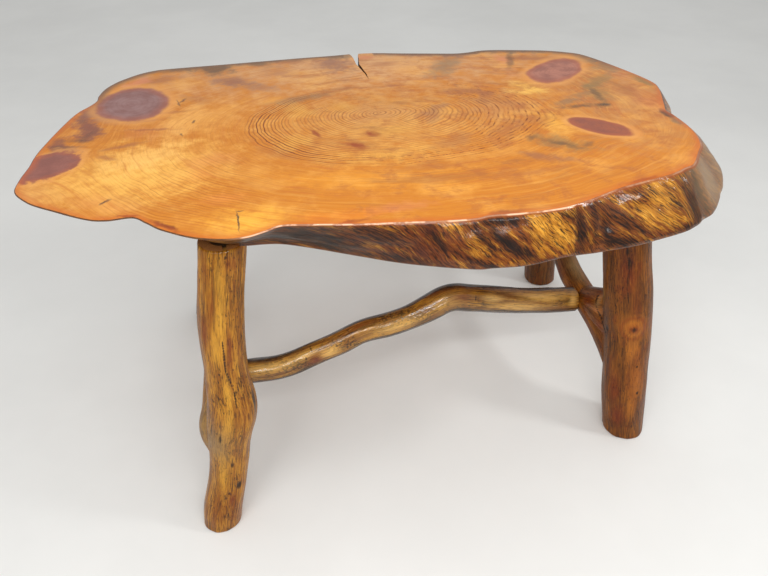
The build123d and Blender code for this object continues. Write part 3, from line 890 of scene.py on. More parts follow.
def top_material(settings, name, low, high):
    """Varnished plank top between two x places: growth rings, knots, drying stains and a soft sheen."""
    wires = Wiring(name)
    flat = wires.flat(wires.object_place())
    slow = wires.shaken(flat, flat, (150, 130, 1), (30, 30, 0), 2)
    rough = wires.shaken(flat, flat, (22, 22, 1), (16, 16, 0), 4, 0.6)
    east, north, _ = wires.parts(slow)
    ragged = wires.times(wires.minus(wires.grain(flat, (30, 30, 1), 5, 0.65), 0.47), 1.7)

    # Growth rings, drawn outwards where they pass a knot.
    radius = growth_ring_radius(wires, slow)
    wander = wires.grain(flat, (40, 40, 1), 3)
    phase = wires.plus(wires.times(radius, RING_COUNT), wires.times(wander, 1.5))
    wave = wires.wave(phase, 2 * math.pi)
    late_wood = wires.fade(wave, 0.25, 0.95)
    year = wires.node("ShaderNodeCombineXYZ", {"X": phase}).outputs[0]
    strong_years = wires.fade(wires.grain(year, (1.4, 1, 1), 1), 0.4, 0.62, 0.3, 1.0)
    strength, inside = ring_strengths(wires, flat, slow, radius)
    ring_lines = wires.times(late_wood, strength, strong_years)

    # Fibre that runs round the pith.
    across, up, _ = wires.parts(wires.placed(slow, (*PITH, 0), 0, (*RING_RADII, 1)))
    angle = wires.math("ARCTAN2", across, wires.times(up, -1.0))
    polar = {"X": wires.times(radius, 260), "Y": wires.times(angle, 200)}
    round_pith = wires.node("ShaderNodeCombineXYZ", polar).outputs[0]
    fibre = wires.grain(round_pith, (1.8, 14, 1), 3, 0.6)
    bands = wires.grain(round_pith, (9, 120, 1), 4, 0.6)

    # Ground colour, zone by zone.
    ground = settings.orange
    for centre, radii, turn, tone, amount in near_span(ZONES, low, high):
        share = wires.patch(slow, centre, radii, turn, 1.0, ragged)
        ground = wires.layer(ground, amount, share, colour(*tone))
    cloud = wires.fade(wires.grain(flat, (90, 70, 1), 5, 0.6), 0.46, 0.7)
    ground = wires.layer(ground, 0.4, cloud, settings.amber)
    calm = wires.fade(east, -200, -40, 0.25, 1.0)
    blush = wires.fade(wires.grain(flat, (52, 40, 1), 5, 0.66, 0.5), 0.49, 0.66)
    ground = wires.layer(ground, 0.55, wires.times(blush, calm), colour(170, 96, 42))
    smoke = wires.fade(wires.grain(round_pith, (60, 150, 1), 5, 0.66, 0.6), 0.52, 0.68)
    ground = wires.layer(ground, 0.45, wires.times(smoke, calm), colour(150, 94, 50))
    ground = wires.layer(ground, 0.42, wires.fade(bands, 0.5, 0.7), colour(190, 104, 34))
    ground = wires.layer(ground, 0.2, wires.fade(bands, 0.48, 0.3), colour(244, 184, 92))

    # Drying stains with ragged outlines.
    for centre, radii, turn, tone, amount in near_span(STAINS, low, high):
        spot = wires.patch(rough, centre, radii, turn, 0.8, ragged if min(radii) > 4 else None)
        ground = wires.layer(ground, amount, spot, STAIN_COLOURS[tone])

    # Growth rings and fine fibre over the ground.
    soft_rings = wires.times(wires.fade(wave, -0.6, 0.9), inside)
    ground = wires.layer(ground, 0.2, soft_rings, colour(168, 96, 40))
    ring_tone = wires.mix(1.0, ground, colour(140, 94, 70), "MULTIPLY")
    ground = wires.layer(ground, 1.0, ring_lines, ring_tone)
    ground = wires.wash(ground, fibre, 0.48, 0.78, 0.38, colour(172, 92, 36))
    ground = wires.wash(ground, fibre, 0.42, 0.2, 0.3, colour(250, 196, 110))

    # Knots: pale halo, thin light rim, purple-brown heart with its own fine rings.
    heart_noise = wires.grain(flat, (34, 30, 1), 4, 0.55)
    for centre, radii, turn, tone in near_span(KNOTS, low - KNOT_HALO, high + KNOT_HALO):
        source, frayed = (rough, 0.5) if centre[0] < FRAYED_END else (slow, 0.13)
        local = wires.placed(source, (*centre, 0), turn, (*radii, 1))
        distance = wires.plus(wires.vector("LENGTH", local), wires.times(ragged, frayed))
        ground = wires.layer(ground, 0.55, wires.fade(distance, 1.4, 1.06), colour(226, 158, 84))
        heart = wires.wash(tone, heart_noise, 0.34, 0.66, 0.55, colour(122, 72, 64))
        years = wires.fade(wires.wave(distance, 46), 0.0, 1.0, 0.0, 0.12)
        heart = wires.mix(years, heart, colour(104, 56, 44))
        heart = wires.wash(heart, distance, 0.66, 0.95, 0.5, colour(166, 88, 56))
        ground = wires.wash(ground, distance, 1.07, 0.9, 1.0, heart)

    # The rim: ragged orange-red band in front, thin grey-brown line at the back.
    inset = wires.stored("inset", "Fac")
    rim = wires.plus(inset, wires.times(ragged, 9.0))
    ground = wires.wash(ground, rim, 16, -4, 0.6, colour(190, 90, 34))
    back = wires.times(wires.fade(north, 110, 240), wires.fade(rim, 26, 0))
    ground = wires.layer(ground, 0.85, back, colour(104, 86, 68))

    sheen = wires.grain(flat, (210, 150, 1), 2)
    relief = wires.minus(wires.times(sheen, 6.0), wires.times(ring_lines, 0.5))
    normal = wires.bump(relief, 0.35, 0.7)
    return wires.finish(ground, 0.5, normal, coat=0.25, coat_roughness=0.08, coat_normal=normal, gloss=0.15)


def edge_material(settings):
    """Varnished live edge: slanting dark and gold strands of the peeled sapwood."""
    wires = Wiring("varnished_live_edge")
    strand = wires.stored("strand")
    place = wires.object_place()
    depth = wires.parts(strand)[2]
    dark, red, bright, grey = wires.stored_tones()
    wavy = wires.shaken(strand, place, (34, 34, 26), (14, 9, 0), 3)
    broad = wires.grain(wavy, (50, 6.5, 30), 4, 0.6)
    fine = wires.grain(wavy, (24, 1.9, 20), 4, 0.6)
    hair = wires.grain(wavy, (15, 0.8, 20), 2, 0.6)
    patches = wires.grain(place, (70, 60, 44), 4, 0.55)

    level = wires.plus(wires.times(broad, 0.65), wires.times(patches, 0.35))
    level = wires.plus(level, wires.times(bright, 0.2))
    level = wires.minus(level, wires.times(dark, 0.15))
    base = wires.wash(colour(118, 60, 14), level, 0.46, 0.6, 1.0, settings.edge_gold)
    base = wires.wash(base, level, 0.43, 0.32, 0.88, settings.edge_dark)
    base = wires.wash(base, level, 0.62, 0.74, 0.8, colour(216, 152, 50))
    base = wires.layer(base, 0.85, red, colour(92, 36, 10))
    lines = wires.fade(wires.plus(fine, wires.times(dark, 0.1)), 0.53, 0.59)
    base = wires.layer(base, 0.88, lines, colour(30, 15, 8))
    base = wires.wash(base, hair, 0.52, 0.66, 0.55, colour(48, 22, 8))
    shine = wires.times(wires.fade(hair, 0.46, 0.32), wires.fade(level, 0.4, 0.6))
    base = wires.layer(base, 0.45, shine, colour(236, 178, 78))
    base = wires.layer(base, 0.84, dark, colour(20, 11, 7))
    # Grey at the right end: a painted reflection of a pale wall.
    base = wires.layer(base, 0.9, grey, colour(146, 122, 94))
    east, north, _ = wires.parts(place)
    front = wires.times(wires.fade(east, -300, -255), wires.fade(north, -60, -180))
    rounded = wires.fade(depth, 5.0, 2.6)
    behind = wires.minus(1.0, front)
    base = wires.layer(base, 0.7, wires.times(rounded, front), colour(140, 68, 24))
    base = wires.layer(base, 0.8, wires.times(rounded, behind), colour(84, 56, 36))
    right = wires.fade(east, 230, 320)
    # A broken pale pink line on the front arris: a painted highlight.
    painted_arris_highlight = wires.fade(wires.grain(place, (26, 26, 26), 3, 0.6), 0.42, 0.54, 0.3, 1.0)
    painted_arris_highlight = wires.times(painted_arris_highlight, wires.minus(front, wires.times(right, 0.7)), clamp=True)
    rounding = wires.times(wires.fade(depth, 0.2, 0.8), wires.fade(depth, 2.6, 1.4))
    base = wires.layer(base, 0.8, wires.times(rounding, painted_arris_highlight), colour(246, 200, 164))
    # A paler band along the lower arris: a painted highlight.
    base = wires.wash(base, depth, 75.5, 78, 0.55, colour(150, 92, 44))

    relief = wires.plus(fine, wires.times(broad, 1.2))
    away = wires.larger(wires.fade(depth, 0.5, 8), wires.times(right, 0.7))
    normal = wires.bump(wires.times(relief, away), 0.9, 0.8)
    coat_normal = wires.bump(wires.times(broad, away), 1.1, 0.9)
    return wires.finish(base, 0.4, normal, coat=0.38, coat_roughness=0.05, coat_normal=coat_normal)


def underside_material():
    """Sawn, thinly varnished underside with straight saw marks."""
    wires = Wiring("sawn_underside")
    place = wires.object_place()
    grain = wires.grain(place, (240, 16, 16), 4, 0.6)
    base = wires.wash(colour(150, 98, 54), grain, 0.3, 0.7, 1.0, colour(186, 132, 80))
    saw = wires.grain(place, (3, 180, 3), 2, 0.5)
    base = wires.wash(base, saw, 0.45, 0.7, 0.3, colour(120, 76, 42))
    for centre, radii, turn, _ in KNOTS:
        spot = wires.patch(wires.flat(place), centre, radii, turn, 0.3)
        base = wires.layer(base, 0.7, spot, colour(110, 60, 40))
    normal = wires.bump(saw, 0.5, 0.6)
    return wires.finish(base, 0.62, normal, coat=0.15, coat_roughness=0.3)


def crack_material():
    """Dark wood inside the crack and the mortises, darker than the top."""
    wires = Wiring("crack_wall")
    place = wires.object_place()
    tone = wires.grain(place, (26, 5, 30), 4, 0.6)
    base = wires.mix(tone, colour(44, 24, 14), colour(120, 72, 38))
    return wires.finish(base, 0.7, wires.bump(tone, 1.0, 0.8), coat=0.1, coat_roughness=0.3)


def sharpen_mouth(piece, kind):
    """Keeps the line where one kind of face meets the others sharp."""
    edit_chosen(piece, "FACE", face_kinds(piece) == kind)
    bpy.ops.mesh.region_to_loop()
    bpy.ops.mesh.mark_sharp()
    bpy.ops.mesh.select_mode(type="VERT")
    leave_edit()


class SLABTABLE_OT_slab(bpy.types.Operator):
    """Build the live-edge slab with its crack and mortises"""

    bl_idname = "slabtable.slab"
    bl_label = "Slab"

    def execute(self, context):
        settings = context.scene.slabtable_slab
        slab = build_slab(settings)
        cutter = crack_cutter()
        finishes = [
            top_material(settings, f"varnished_top_{number}", low, high)
            for number, (low, high) in enumerate(zip(TOP_SPANS, TOP_SPANS[1:]), 1)
        ]
        finishes += [edge_material(settings), underside_material(), crack_material()]
        for material in finishes:
            slab.data.materials.append(material)
            cutter.data.materials.append(material)
        last = len(finishes) - 1
        cutter.data.polygons.foreach_set("material_index", [last] * len(cutter.data.polygons))
        cut_away(slab, cutter)
        clear_crack_sides(slab)
        cut_mortises(slab, context.scene.slabtable_logs)
        pick(slab)
        bpy.ops.object.shade_smooth_by_angle(angle=math.radians(40))
        sharpen_mouth(slab, last)
        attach(slab, "root")
        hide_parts("slab_top")
        return {"FINISHED"}


# ---------------------------------------------------------------- logs

# Marks on the peeled logs by kind: middle, half sizes, strength. Two half sizes are measured around and along
# the log, three along x, y and z.
FRONT_LEFT_MARKS = {
    "dark": [
        ((-312, -304, 558), (2.4, 44), 0.6), ((-316, -308, 517), (2.4, 20), 0.5),
        ((-303, -293, 647), (4, 6), 0.85), ((-286, -284, 571), (5, 50), 0.55),
        ((-296, -294, 478), (6, 40), 0.5), ((-335, -293, 616), (5, 30), 0.4),
        ((-294, -311, 328), (7, 34), 0.9), ((-352, -347, 191), (4, 12), 0.85),
        ((-348, -346, 126), (6.5, 13), 1), ((-367, -341, 263), (4, 20), 0.7),
        ((-355, -328, 358), (4, 14), 0.6), ((-380, -361, 52), (3, 18), 0.55),
        ((-416, -343, 71), (12, 40), 0.4), ((-370, -323, 333), (3, 18), 0.6),
        ((-382, -325, 276), (3, 40), 0.7), ((-338, -318, 128), (10, 70), 0.42),
    ],
    "bright": [
        # These pale marks make a band down the front of the leg: partly yellow wood, partly painted
        # highlight.
        ((-319, -300, 599), (8, 50), 0.85), ((-330, -309, 531), (9, 60), 1),
        ((-343, -316, 470), (8, 36), 0.95), ((-337, -329, 369), (7, 34), 1),
        ((-346, -342, 302), (8, 36), 1), ((-372, -346, 180), (9, 60), 0.8),
    ],
    "red": [
        ((-341, -304, 551), (6, 34), 0.65), ((-360, -302, 496), (8, 30), 0.8),
        ((-320, -314, 471), (7, 34), 0.75), ((-300, -293, 635), (10, 18), 0.6),
        ((-311, -332, 313), (15, 26), 0.4), ((-368, -356, 94), (9, 24), 0.8),
        ((-385, -350, 60), (50, 50), 0.35), ((-350, -330, 150), (14, 60), 0.55),
    ],
    "grey": [
        ((-398, -289, 252), (34, 46), 0.85),
    ],
}  # fmt: skip
FRONT_RIGHT_MARKS = {
    "bright": [
        ((505, -248, 330), (26, 30), 1), ((513, -254, 274), (14, 40), 0.75),
        ((539, -264, 181), (16, 50), 0.85), ((537, -271, 114), (12, 40), 0.65),
        ((466, -159, 350), (9, 18), 0.8), ((464, -163, 313), (8, 16), 0.65),
        ((462, -162, 318), (8, 14), 0.7),
    ],
    "red": [
        ((505, -250, 329), (13, 20, 12), 1), ((466, -176, 286), (12, 14, 14), 0.7),
        ((471, -224, 470), (20, 55), 0.65), ((516, -263, 75), (16, 40), 0.75),
        ((499, -247, 152), (14, 50), 0.7), ((453, -130, 323), (14, 16), 0.7),
        ((532, -262, 200), (22, 70), 0.35), ((497, -243, 400), (12, 60), 0.4),
    ],
    "dark": [
        ((505, -250, 328), (9, 20, 9), 0.7), ((470, -214, 292), (13, 16, 36), 0.62),
        # The flat mark at (470, -120, 268) darkens the underside of the web where it meets the brace: painted
        # shade.
        ((486, -234, 250), (16, 12, 30), 0.5), ((470, -120, 268), (30, 16, 12), 0.45),
        ((471, -224, 488), (5, 18), 0.85), ((463, -219, 515), (6, 16), 0.85),
        ((474, -228, 450), (2.6, 26), 0.85), ((483, -235, 402), (2.4, 28), 0.65),
        ((468, -207, 304), (9, 12), 1), ((477, -225, 268), (15, 34), 0.6),
        ((482, -236, 297), (10, 20), 0.5), ((481, -223, 220), (10, 22), 0.65),
        ((531, -260, 225), (3.2, 3.5), 1), ((546, -267, 148), (3.6, 6), 1),
        ((541, -264, 168), (2.6, 4), 0.85), ((496, -231, 95), (10, 60), 0.45),
        ((462, -126, 318), (16, 5, 16), 0.85), ((479, -154, 286), (2.6, 16), 0.85),
        ((468, -182, 240), (10, 30), 0.8), ((452, -27, 318), (12, 50), 0.6),
    ],
    "red ring": [
        ((505, -248, 330), (25, 28), 0.5),
    ],
    "grey": [
        # The first grey mark runs along the top of the brace: a painted highlight.
        ((468, -20, 330), (20, 62, 13), 1), ((460, -175, 382), (26, 13, 30), 0.9),
        ((466, -160, 344), (22, 7, 20), 0.7),
    ],
}  # fmt: skip
PATH_STEP = 4.0         # how finely a log's middle line is followed
CRACK_STEP = 5          # how closely the marks of a long crack follow each other
# Long cracks, drawn as runs of marks: points along them, half sizes of each mark, strength.
FRONT_LEFT_CRACKS = [
    ([(-331, -316, 484), (-333, -319, 454), (-334, -322, 420), (-329, -325, 394), (-325, -328, 370),
      (-326, -334, 338)], (2.6, 5), 1),
    ([(-313, -304, 600), (-314, -306, 560), (-316, -308, 517)], (2, 5), 0.6),
    ([(-297, -296, 560), (-296, -294, 500), (-300, -304, 440)], (2.4, 5), 0.6),
    ([(-350, -330, 330), (-360, -338, 270), (-364, -344, 220)], (2.2, 5), 0.6),
    ([(-340, -340, 230), (-350, -346, 160), (-358, -350, 90)], (2.2, 5), 0.7),
]  # fmt: skip
FRONT_RIGHT_CRACKS = [
    ([(466, -222, 500), (471, -224, 470), (476, -229, 430), (484, -236, 396)], (2.4, 5), 0.8),
    ([(452, -206, 560), (460, -214, 520), (464, -218, 480)], (2.4, 5), 0.6),
    ([(486, -230, 560), (490, -232, 520), (486, -232, 470)], (2.4, 5), 0.6),
    ([(464, -149, 347), (468, -160, 327), (472, -170, 309), (471, -190, 296), (471, -206, 280)],
     (16, 4, 6), 1),
    ([(462, -150, 350), (466, -162, 338), (468, -174, 318)], (3, 3, 4), 0.6),
]  # fmt: skip
STRETCHER_CRACKS = [([(-150, -172, 286), (-120, -170, 296), (-90, -166, 308)], (1.8, 5), 0.6)]
PAINTED_SHADE_AXIS = np.array([0.0, 0.6, 0.8])    # a log is painted darker towards this side and opposite to it: painted shade along its upper back and lower front
# Where the stretcher is worm-eaten: middle and half sizes.
WORM_EATEN = [
    ((30, -148, 346), (70, 30, 20)),
    ((-225, -172, 275), (60, 20, 16)),
    ((-110, -160, 305), (40, 20, 12)),
]
# Swellings on the right fork: middle, half sizes, how far they stand out.
RIGHT_KNOBS = [((505, -248, 330), (15, 15, 16), 2.6), ((471, -226, 470), (9, 9, 60), -2.0)]
STRETCHER_MARKS = {
    "bright": [
        # These pale marks run along the upper front: partly pale sapwood, partly painted highlights.
        ((-262, -176, 278), (10, 60), 1), ((-192, -167, 290), (8, 30), 1), ((232, -124, 352), (9, 26), 1),
        ((360, -103, 324), (10, 60), 1), ((431, -105, 306), (14, 9), 0.8),
        ((-231, -172, 279), (12, 40), 0.7), ((19, -151, 332), (14, 60), 0.7),
        ((130, -136, 373), (14, 40), 0.8), ((-135, -168, 294), (12, 24), 0.8),
        ((290, -121, 318), (14, 70), 0.7),
    ],
    "dark": [
        # The first two dark bands run along the lower front side: painted shade.
        ((-250, -168, 242), (9, 60), 0.5), ((60, -140, 306), (8, 90), 0.5),
        ((-174, -157, 299), (13, 2.6), 0.85), ((-186, -171, 285), (7, 2.6), 0.85),
        ((-160, -168, 276), (7, 16), 0.6), ((-119, -164, 305), (2.4, 5), 0.85),
        ((-95, -164, 310), (2.4, 5), 0.9), ((-75, -124, 338), (9, 26), 0.6),
        ((104, -100, 378), (8, 24), 0.6), ((190, -130, 365), (11, 1.8), 0.95),
        ((190, -134, 341), (11, 1.8), 0.8), ((407, -91, 322), (2.6, 24), 0.7),
        ((381, -112, 301), (2.6, 24), 0.6),
    ],
    "red": [
        ((-166, -172, 280), (11, 15), 0.9), ((-75, -127, 334), (15, 30), 0.75),
        ((108, -105, 379), (15, 32), 0.75), ((157, -132, 374), (11, 24), 0.85),
    ],
}  # fmt: skip


def crack_marks(cracks):
    """Marks set close together along each crack."""
    marks = []
    for points, sizes, amount in cracks:
        line = np.array(points, float)
        for first, second in zip(line, line[1:]):
            count = max(2, int(np.linalg.norm(second - first) / CRACK_STEP))
            for share in np.linspace(0, 1, count):
                marks.append((first + (second - first) * share, sizes, amount))
    return marks


def log_path(stations, start=0.0):
    """Evenly fine samples of a log's middle line: points, radii, lengths, and directions along and across it.

    The start is where its grain begins to be measured from."""
    controls = np.array(stations, float)
    ends = np.vstack([2 * controls[0] - controls[1], controls, 2 * controls[-1] - controls[-2]])
    samples = []
    for index in range(1, len(ends) - 2):
        around = ends[index - 1 : index + 3]
        count = max(2, int(np.linalg.norm(around[2, :3] - around[1, :3]) / PATH_STEP))
        samples += [between(*around, share) for share in np.linspace(0, 1, count, endpoint=False)]
    samples.append(controls[-1])
    samples = np.array(samples)
    points, radii = samples[:, :3], samples[:, 3]
    along = unit_rows(np.gradient(points, axis=0))
    steps = np.linalg.norm(np.diff(points, axis=0), axis=1)
    lengths = np.concatenate([[0], np.cumsum(steps)])
    side = np.array([1.0, 0.0, 0.0]) if abs(along[0][0]) < 0.8 else np.array([0.0, 0.0, 1.0])
    sides = []
    for direction in along:
        side = side - direction * side.dot(direction)
        side = side / np.linalg.norm(side)
        sides.append(side)
    sides = np.array(sides)
    return {
        "points": points, "radii": radii, "along": along, "lengths": start + lengths,
        "side": sides, "other": np.cross(along, sides),
    }  # fmt: skip


def tube(name, stations, reach=0.0):
    """A closed round tube along a log's stations, stretched past its two ends."""
    points = [np.array(station, float) for station in stations]
    if reach:
        for end, inner in ((0, 1), (-1, -2)):
            away = points[end][:3] - points[inner][:3]
            stretched = points[end].copy()
            stretched[:3] += away / np.linalg.norm(away) * reach
            points.insert(0 if end == 0 else len(points), stretched)
    deselect()
    bpy.ops.curve.primitive_bezier_curve_add(location=(0, 0, 0))
    curve = bpy.context.object
    curve.name = name
    spline = curve.data.splines[0]
    spline.bezier_points.add(len(points) - 2)
    spline.radius_interpolation = "CARDINAL"
    for handle, (x, y, z, radius) in zip(spline.bezier_points, points):
        handle.co = (x * MM, y * MM, z * MM)
        handle.radius = radius
        handle.handle_left_type = handle.handle_right_type = "AUTO"
    set_up(curve.data, {
        "dimensions": "3D", "twist_mode": "MINIMUM", "bevel_depth": MM, "bevel_resolution": 16,
        "resolution_u": 8, "use_fill_caps": True,
    })  # fmt: skip
    bpy.ops.object.convert(target="MESH")
    made = bpy.context.object
    made.name = made.data.name = name
    edit_all(made)
    bpy.ops.mesh.remove_doubles(threshold=1e-6)
    turn_faces_out(made)
    return made


def nearest(paths, places):
    """Where each place lies in the log or branch closest to it: across, across the other way, along."""
    best = np.full(len(places), np.inf)
    coordinates = np.zeros((len(places), 3))
    for path in paths:
        gaps = np.linalg.norm(places[:, None, :] - path["points"][None, :, :], axis=2)
        sample = np.argmin(gaps, axis=1)
        out = gaps[np.arange(len(places)), sample] - path["radii"][sample]
        offset = places - path["points"][sample]
        across = np.einsum("ij,ij->i", offset, path["side"][sample])
        other = np.einsum("ij,ij->i", offset, path["other"][sample])
        along = path["lengths"][sample] + np.einsum("ij,ij->i", offset, path["along"][sample])
        closer = out < best
        best[closer] = out[closer]
        coordinates[closer] = np.column_stack([across, other, along])[closer]
    return coordinates


def mark_tones(paths, places, grain, marks):
    """Shares of dark, red, bright and grey at each point of a log, from its marks."""
    tones = np.zeros((len(grain), 4))
    for kind, rows in dict(marks).items():
        channel = TONE_CHANNELS[kind]
        for centre, sizes, amount in rows:
            if len(sizes) == 3:
                away = spread(places, centre, sizes)
            else:
                middle = nearest(paths, np.array([centre], float))[0]
                away = spread(grain, middle, (sizes[0], *sizes))
            if kind == "red ring":
                away = ((np.sqrt(away) - 1) / 0.2) ** 2
            tones[:, channel] = np.maximum(tones[:, channel], amount * np.exp(-away))
    return tones


def shape_log(piece, paths, settings, seed, marks=(), knobs=(), pitted_zones=(), painted_shade=0.0):
    """Turns a plain tube or fork into a natural peeled log, and stores its grain, tones and worm-eaten share.

    Its seed gives it a grain of its own, and painted_shade is how much painted shade darkens its upper and
    lower sides."""
    apply_modifier(piece, "REMESH", mode="VOXEL", voxel_size=settings.voxel, use_smooth_shade=True)
    apply_modifier(piece, "SMOOTH", factor=0.5, iterations=14)
    places = read_points(piece)
    normals = read(piece.data.vertex_normals, "vector", 3)
    grain = nearest(paths, places)
    tones = mark_tones(paths, places, grain, marks)
    grain[:, 2] += 1000 * seed
    height = settings.lump_height / MM
    lift = height * ripple(grain, (46, 46, 110), 0.3)
    lift += 0.5 * height * ripple(grain, (15, 15, 80), 4.3)
    lift += 0.16 * height * ripple(grain, (5, 5, 34), 8.9)
    for centre, sizes, amount in knobs:
        lift += amount * np.exp(-spread(places, centre, sizes))
    lift -= 2.2 * np.clip(tones[:, 0] - 0.6, 0, 1)
    # Painted shade: the sides facing up and back, and down and front, are darkened.
    shade_share = np.clip((np.abs(normals @ PAINTED_SHADE_AXIS) - 0.5) / 0.4, 0, 1)
    tones[:, 0] = np.maximum(tones[:, 0], painted_shade * shade_share)
    for level, outwards in ((0.0, -1.0), (float(UNDERSIDE), 1.0)):
        past = np.clip(ARRIS_EASE + outwards * (places[:, 2] - level), 0, ARRIS_EASE)
        flank = np.clip(1 - np.abs(normals[:, 2]), 0, 1)
        lift -= flank * (ARRIS_EASE - np.sqrt(ARRIS_EASE**2 - past**2))
    write_points(piece, places + normals * lift[:, None])
    pitted = np.zeros(len(places))
    for centre, sizes in pitted_zones:
        pitted = np.maximum(pitted, np.exp(-(spread(places, centre, sizes) ** 2)))
    store(piece, "pitted", "FLOAT", pitted)
    store(piece, "grain", "FLOAT_VECTOR", grain)
    store(piece, "tone", "FLOAT_COLOR", tones)


def saw_flat(piece, level, keep_above):
    """Saws a log level at a height and closes the cut."""
    edit_all(piece)
    bpy.ops.mesh.bisect(
        plane_co=(0, 0, level * MM), plane_no=(0, 0, 1), use_fill=True,
        clear_inner=keep_above, clear_outer=not keep_above,
    )  # fmt: skip
    leave_edit()


def add_tenon(piece, stations, settings):
    """Adds the round tenon on a log's sawn top."""
    x, y = stations[-1][:2]
    length = settings.tenon_length + TENON_ROOT
    deselect()
    bpy.ops.mesh.primitive_cylinder_add(
        vertices=TENON_SIDES, radius=settings.tenon_radius - TENON_PLAY, depth=length,
        location=(x * MM, y * MM, UNDERSIDE * MM - TENON_ROOT + length / 2),
    )  # fmt: skip
    tenon = bpy.context.object
    apply_modifier(piece, "BOOLEAN", operation="UNION", solver="EXACT", object=tenon)
    bpy.data.objects.remove(tenon)


def end_grain_faces(piece):
    """Gives the sawn faces of a log their own material."""
    piece.data.polygons.foreach_set(
        "material_index",
        [1 if abs(face.normal.z) > 0.995 and len(face.vertices) > 8 else 0 for face in piece.data.polygons],
    )


def build_leg(name, log, settings, seed, arms=(), marks=(), knobs=()):
    """A leg log, with its forked branch where it has one."""
    piece = tube(name, log, SAWN_OFF)
    paths = [log_path(log)]
    for stations in arms:
        arm = tube(name + "_arm", stations)
        pick(piece)
        arm.select_set(True)
        bpy.ops.object.join()
        paths.append(log_path(stations, stations[0][2]))
    shape_log(piece, paths, settings, seed, marks, knobs)
    saw_flat(piece, 0, True)
    saw_flat(piece, UNDERSIDE, False)
    add_tenon(piece, log, settings)
    hold_in_box(piece)
    pick(piece)
    bpy.ops.object.shade_smooth_by_angle(angle=math.radians(45))
    end_grain_faces(piece)
    return piece


def log_material(name, tones, redness, coat):
    """Varnished peeled log: bands and streaks along the grain, dark flecks and pits."""
    wires = Wiring(name)
    bright, gold, brown, dark = tones
    grain = wires.stored("grain")
    place = wires.object_place()
    marked_dark, marked_red, marked_bright, marked_grey = wires.stored_tones()
    bands = wires.grain(grain, (11, 11, 150), 3, 0.55)
    streaks = wires.grain(grain, (3.8, 3.8, 74), 5, 0.62)
    threads = wires.grain(grain, (2.1, 2.1, 70), 3, 0.6)
    fine = wires.grain(grain, (1.3, 1.3, 22), 3, 0.6)
    patches = wires.grain(place, (32, 32, 60), 5, 0.6)
    level = wires.plus(wires.times(bands, 0.5), wires.times(streaks, 0.5))
    level = wires.plus(level, wires.times(marked_bright, 0.1))
    base = wires.wash(brown, level, 0.43, 0.56, 1.0, gold)
    base = wires.wash(base, level, 0.57, 0.68, 0.6, bright)
    base = wires.wash(base, patches, 0.52, 0.66, 0.5, brown)
    red = wires.grain(place, (22, 22, 44), 4, 0.55)
    base = wires.wash(base, red, 0.5, 0.62, redness, colour(118, 50, 14))
    base = wires.wash(base, streaks, 0.55, 0.62, 0.75, dark)
    base = wires.wash(base, threads, 0.56, 0.62, 0.7, dark)
    flecks = wires.grain(grain, (2.6, 2.6, 9), 3, 0.6)
    pits = wires.times(wires.fade(flecks, 0.58, 0.64), wires.fade(patches, 0.4, 0.56))
    worm_holes = wires.fade(wires.grain(place, (5.4, 5.4, 5.4), 0, 0.5), 0.55, 0.60)
    pits = wires.larger(pits, wires.times(worm_holes, wires.stored("pitted", "Fac")))
    base = wires.layer(base, 0.95, pits, colour(40, 20, 9))
    base = wires.layer(base, 0.75, marked_bright, bright)
    broken = wires.plus(wires.times(streaks, 1.1), 0.4, clamp=True)
    base = wires.layer(base, 1.0, wires.times(marked_red, broken), colour(114, 40, 10))
    base = wires.layer(base, 0.8, marked_grey, colour(146, 120, 80))
    torn = wires.plus(marked_dark, wires.minus(wires.times(threads, 1.3), 0.65))
    base = wires.layer(base, 0.95, wires.fade(torn, 0.35, 0.8), colour(34, 17, 8))
    base = wires.wash(base, fine, 0.5, 0.7, 0.5, dark)
    base = wires.wash(base, fine, 0.45, 0.28, 0.3, bright)
    relief = wires.minus(wires.times(streaks, 1.2), wires.times(pits, 0.9))
    relief = wires.plus(relief, wires.times(fine, 0.3))
    normal = wires.bump(relief, 1.0, 0.9)
    coat_normal = wires.bump(wires.plus(bands, wires.times(streaks, 0.6)), 1.0, 0.9)
    return wires.finish(base, 0.45, normal, coat=coat, coat_roughness=0.07, coat_normal=coat_normal)


def end_grain_material():
    """Sawn ends of the logs: fine rings round the heart."""
    wires = Wiring("log_end_grain")
    grain = wires.flat(wires.stored("grain"))
    bent = wires.shaken(grain, grain, (14, 14, 1), (5, 5, 0), 2)
    years = wires.wave(wires.vector("LENGTH", bent), 2.4)
    base = wires.wash(colour(168, 112, 62), years, -0.2, 1.0, 1.0, colour(112, 62, 30))
    return wires.finish(base, 0.5, wires.bump(years, 0.15, 0.5), coat=0.3, coat_roughness=0.2)


def joinery_material(name, tone, darker):
    """Plain riven hardwood of the wedges and pegs."""
    wires = Wiring(name)
    place = wires.object_place()
    grain = wires.grain(place, (3, 3, 30), 4, 0.6)
    base = wires.wash(tone, grain, 0.3, 0.7, 1.0, darker)
    return wires.finish(base, 0.55, wires.bump(grain, 0.3, 0.6), coat=0.3, coat_roughness=0.25)


def finish_log(piece, material, node):
    """Gives a log and its sawn ends their finishes and hangs it on the table in place of its CAD node."""
    kinds = face_kinds(piece)
    piece.data.materials.clear()
    for finish in (material, end_grain_material()):
        piece.data.materials.append(finish)
    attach(piece, "root")
    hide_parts(node)
    piece.data.polygons.foreach_set("material_index", kinds)


class SLABTABLE_OT_front_left_leg(bpy.types.Operator):
    """Build the front left leg with its forked brace"""

    bl_idname = "slabtable.front_left_leg"
    bl_label = "Front left leg"

    def execute(self, context):
        settings = context.scene.slabtable_logs
        marks = {**FRONT_LEFT_MARKS, "crack": crack_marks(FRONT_LEFT_CRACKS)}
        piece = build_leg("front_left_fork", FRONT_LEFT_LOG, settings, 1, [LEFT_BRACE], marks)
        tones = (colour(206, 148, 48), settings.gold, settings.brown, settings.dark)
        material = log_material("golden_log", tones, 0.25, 0.35)
        finish_log(piece, material, "front_left_leg")
        return {"FINISHED"}


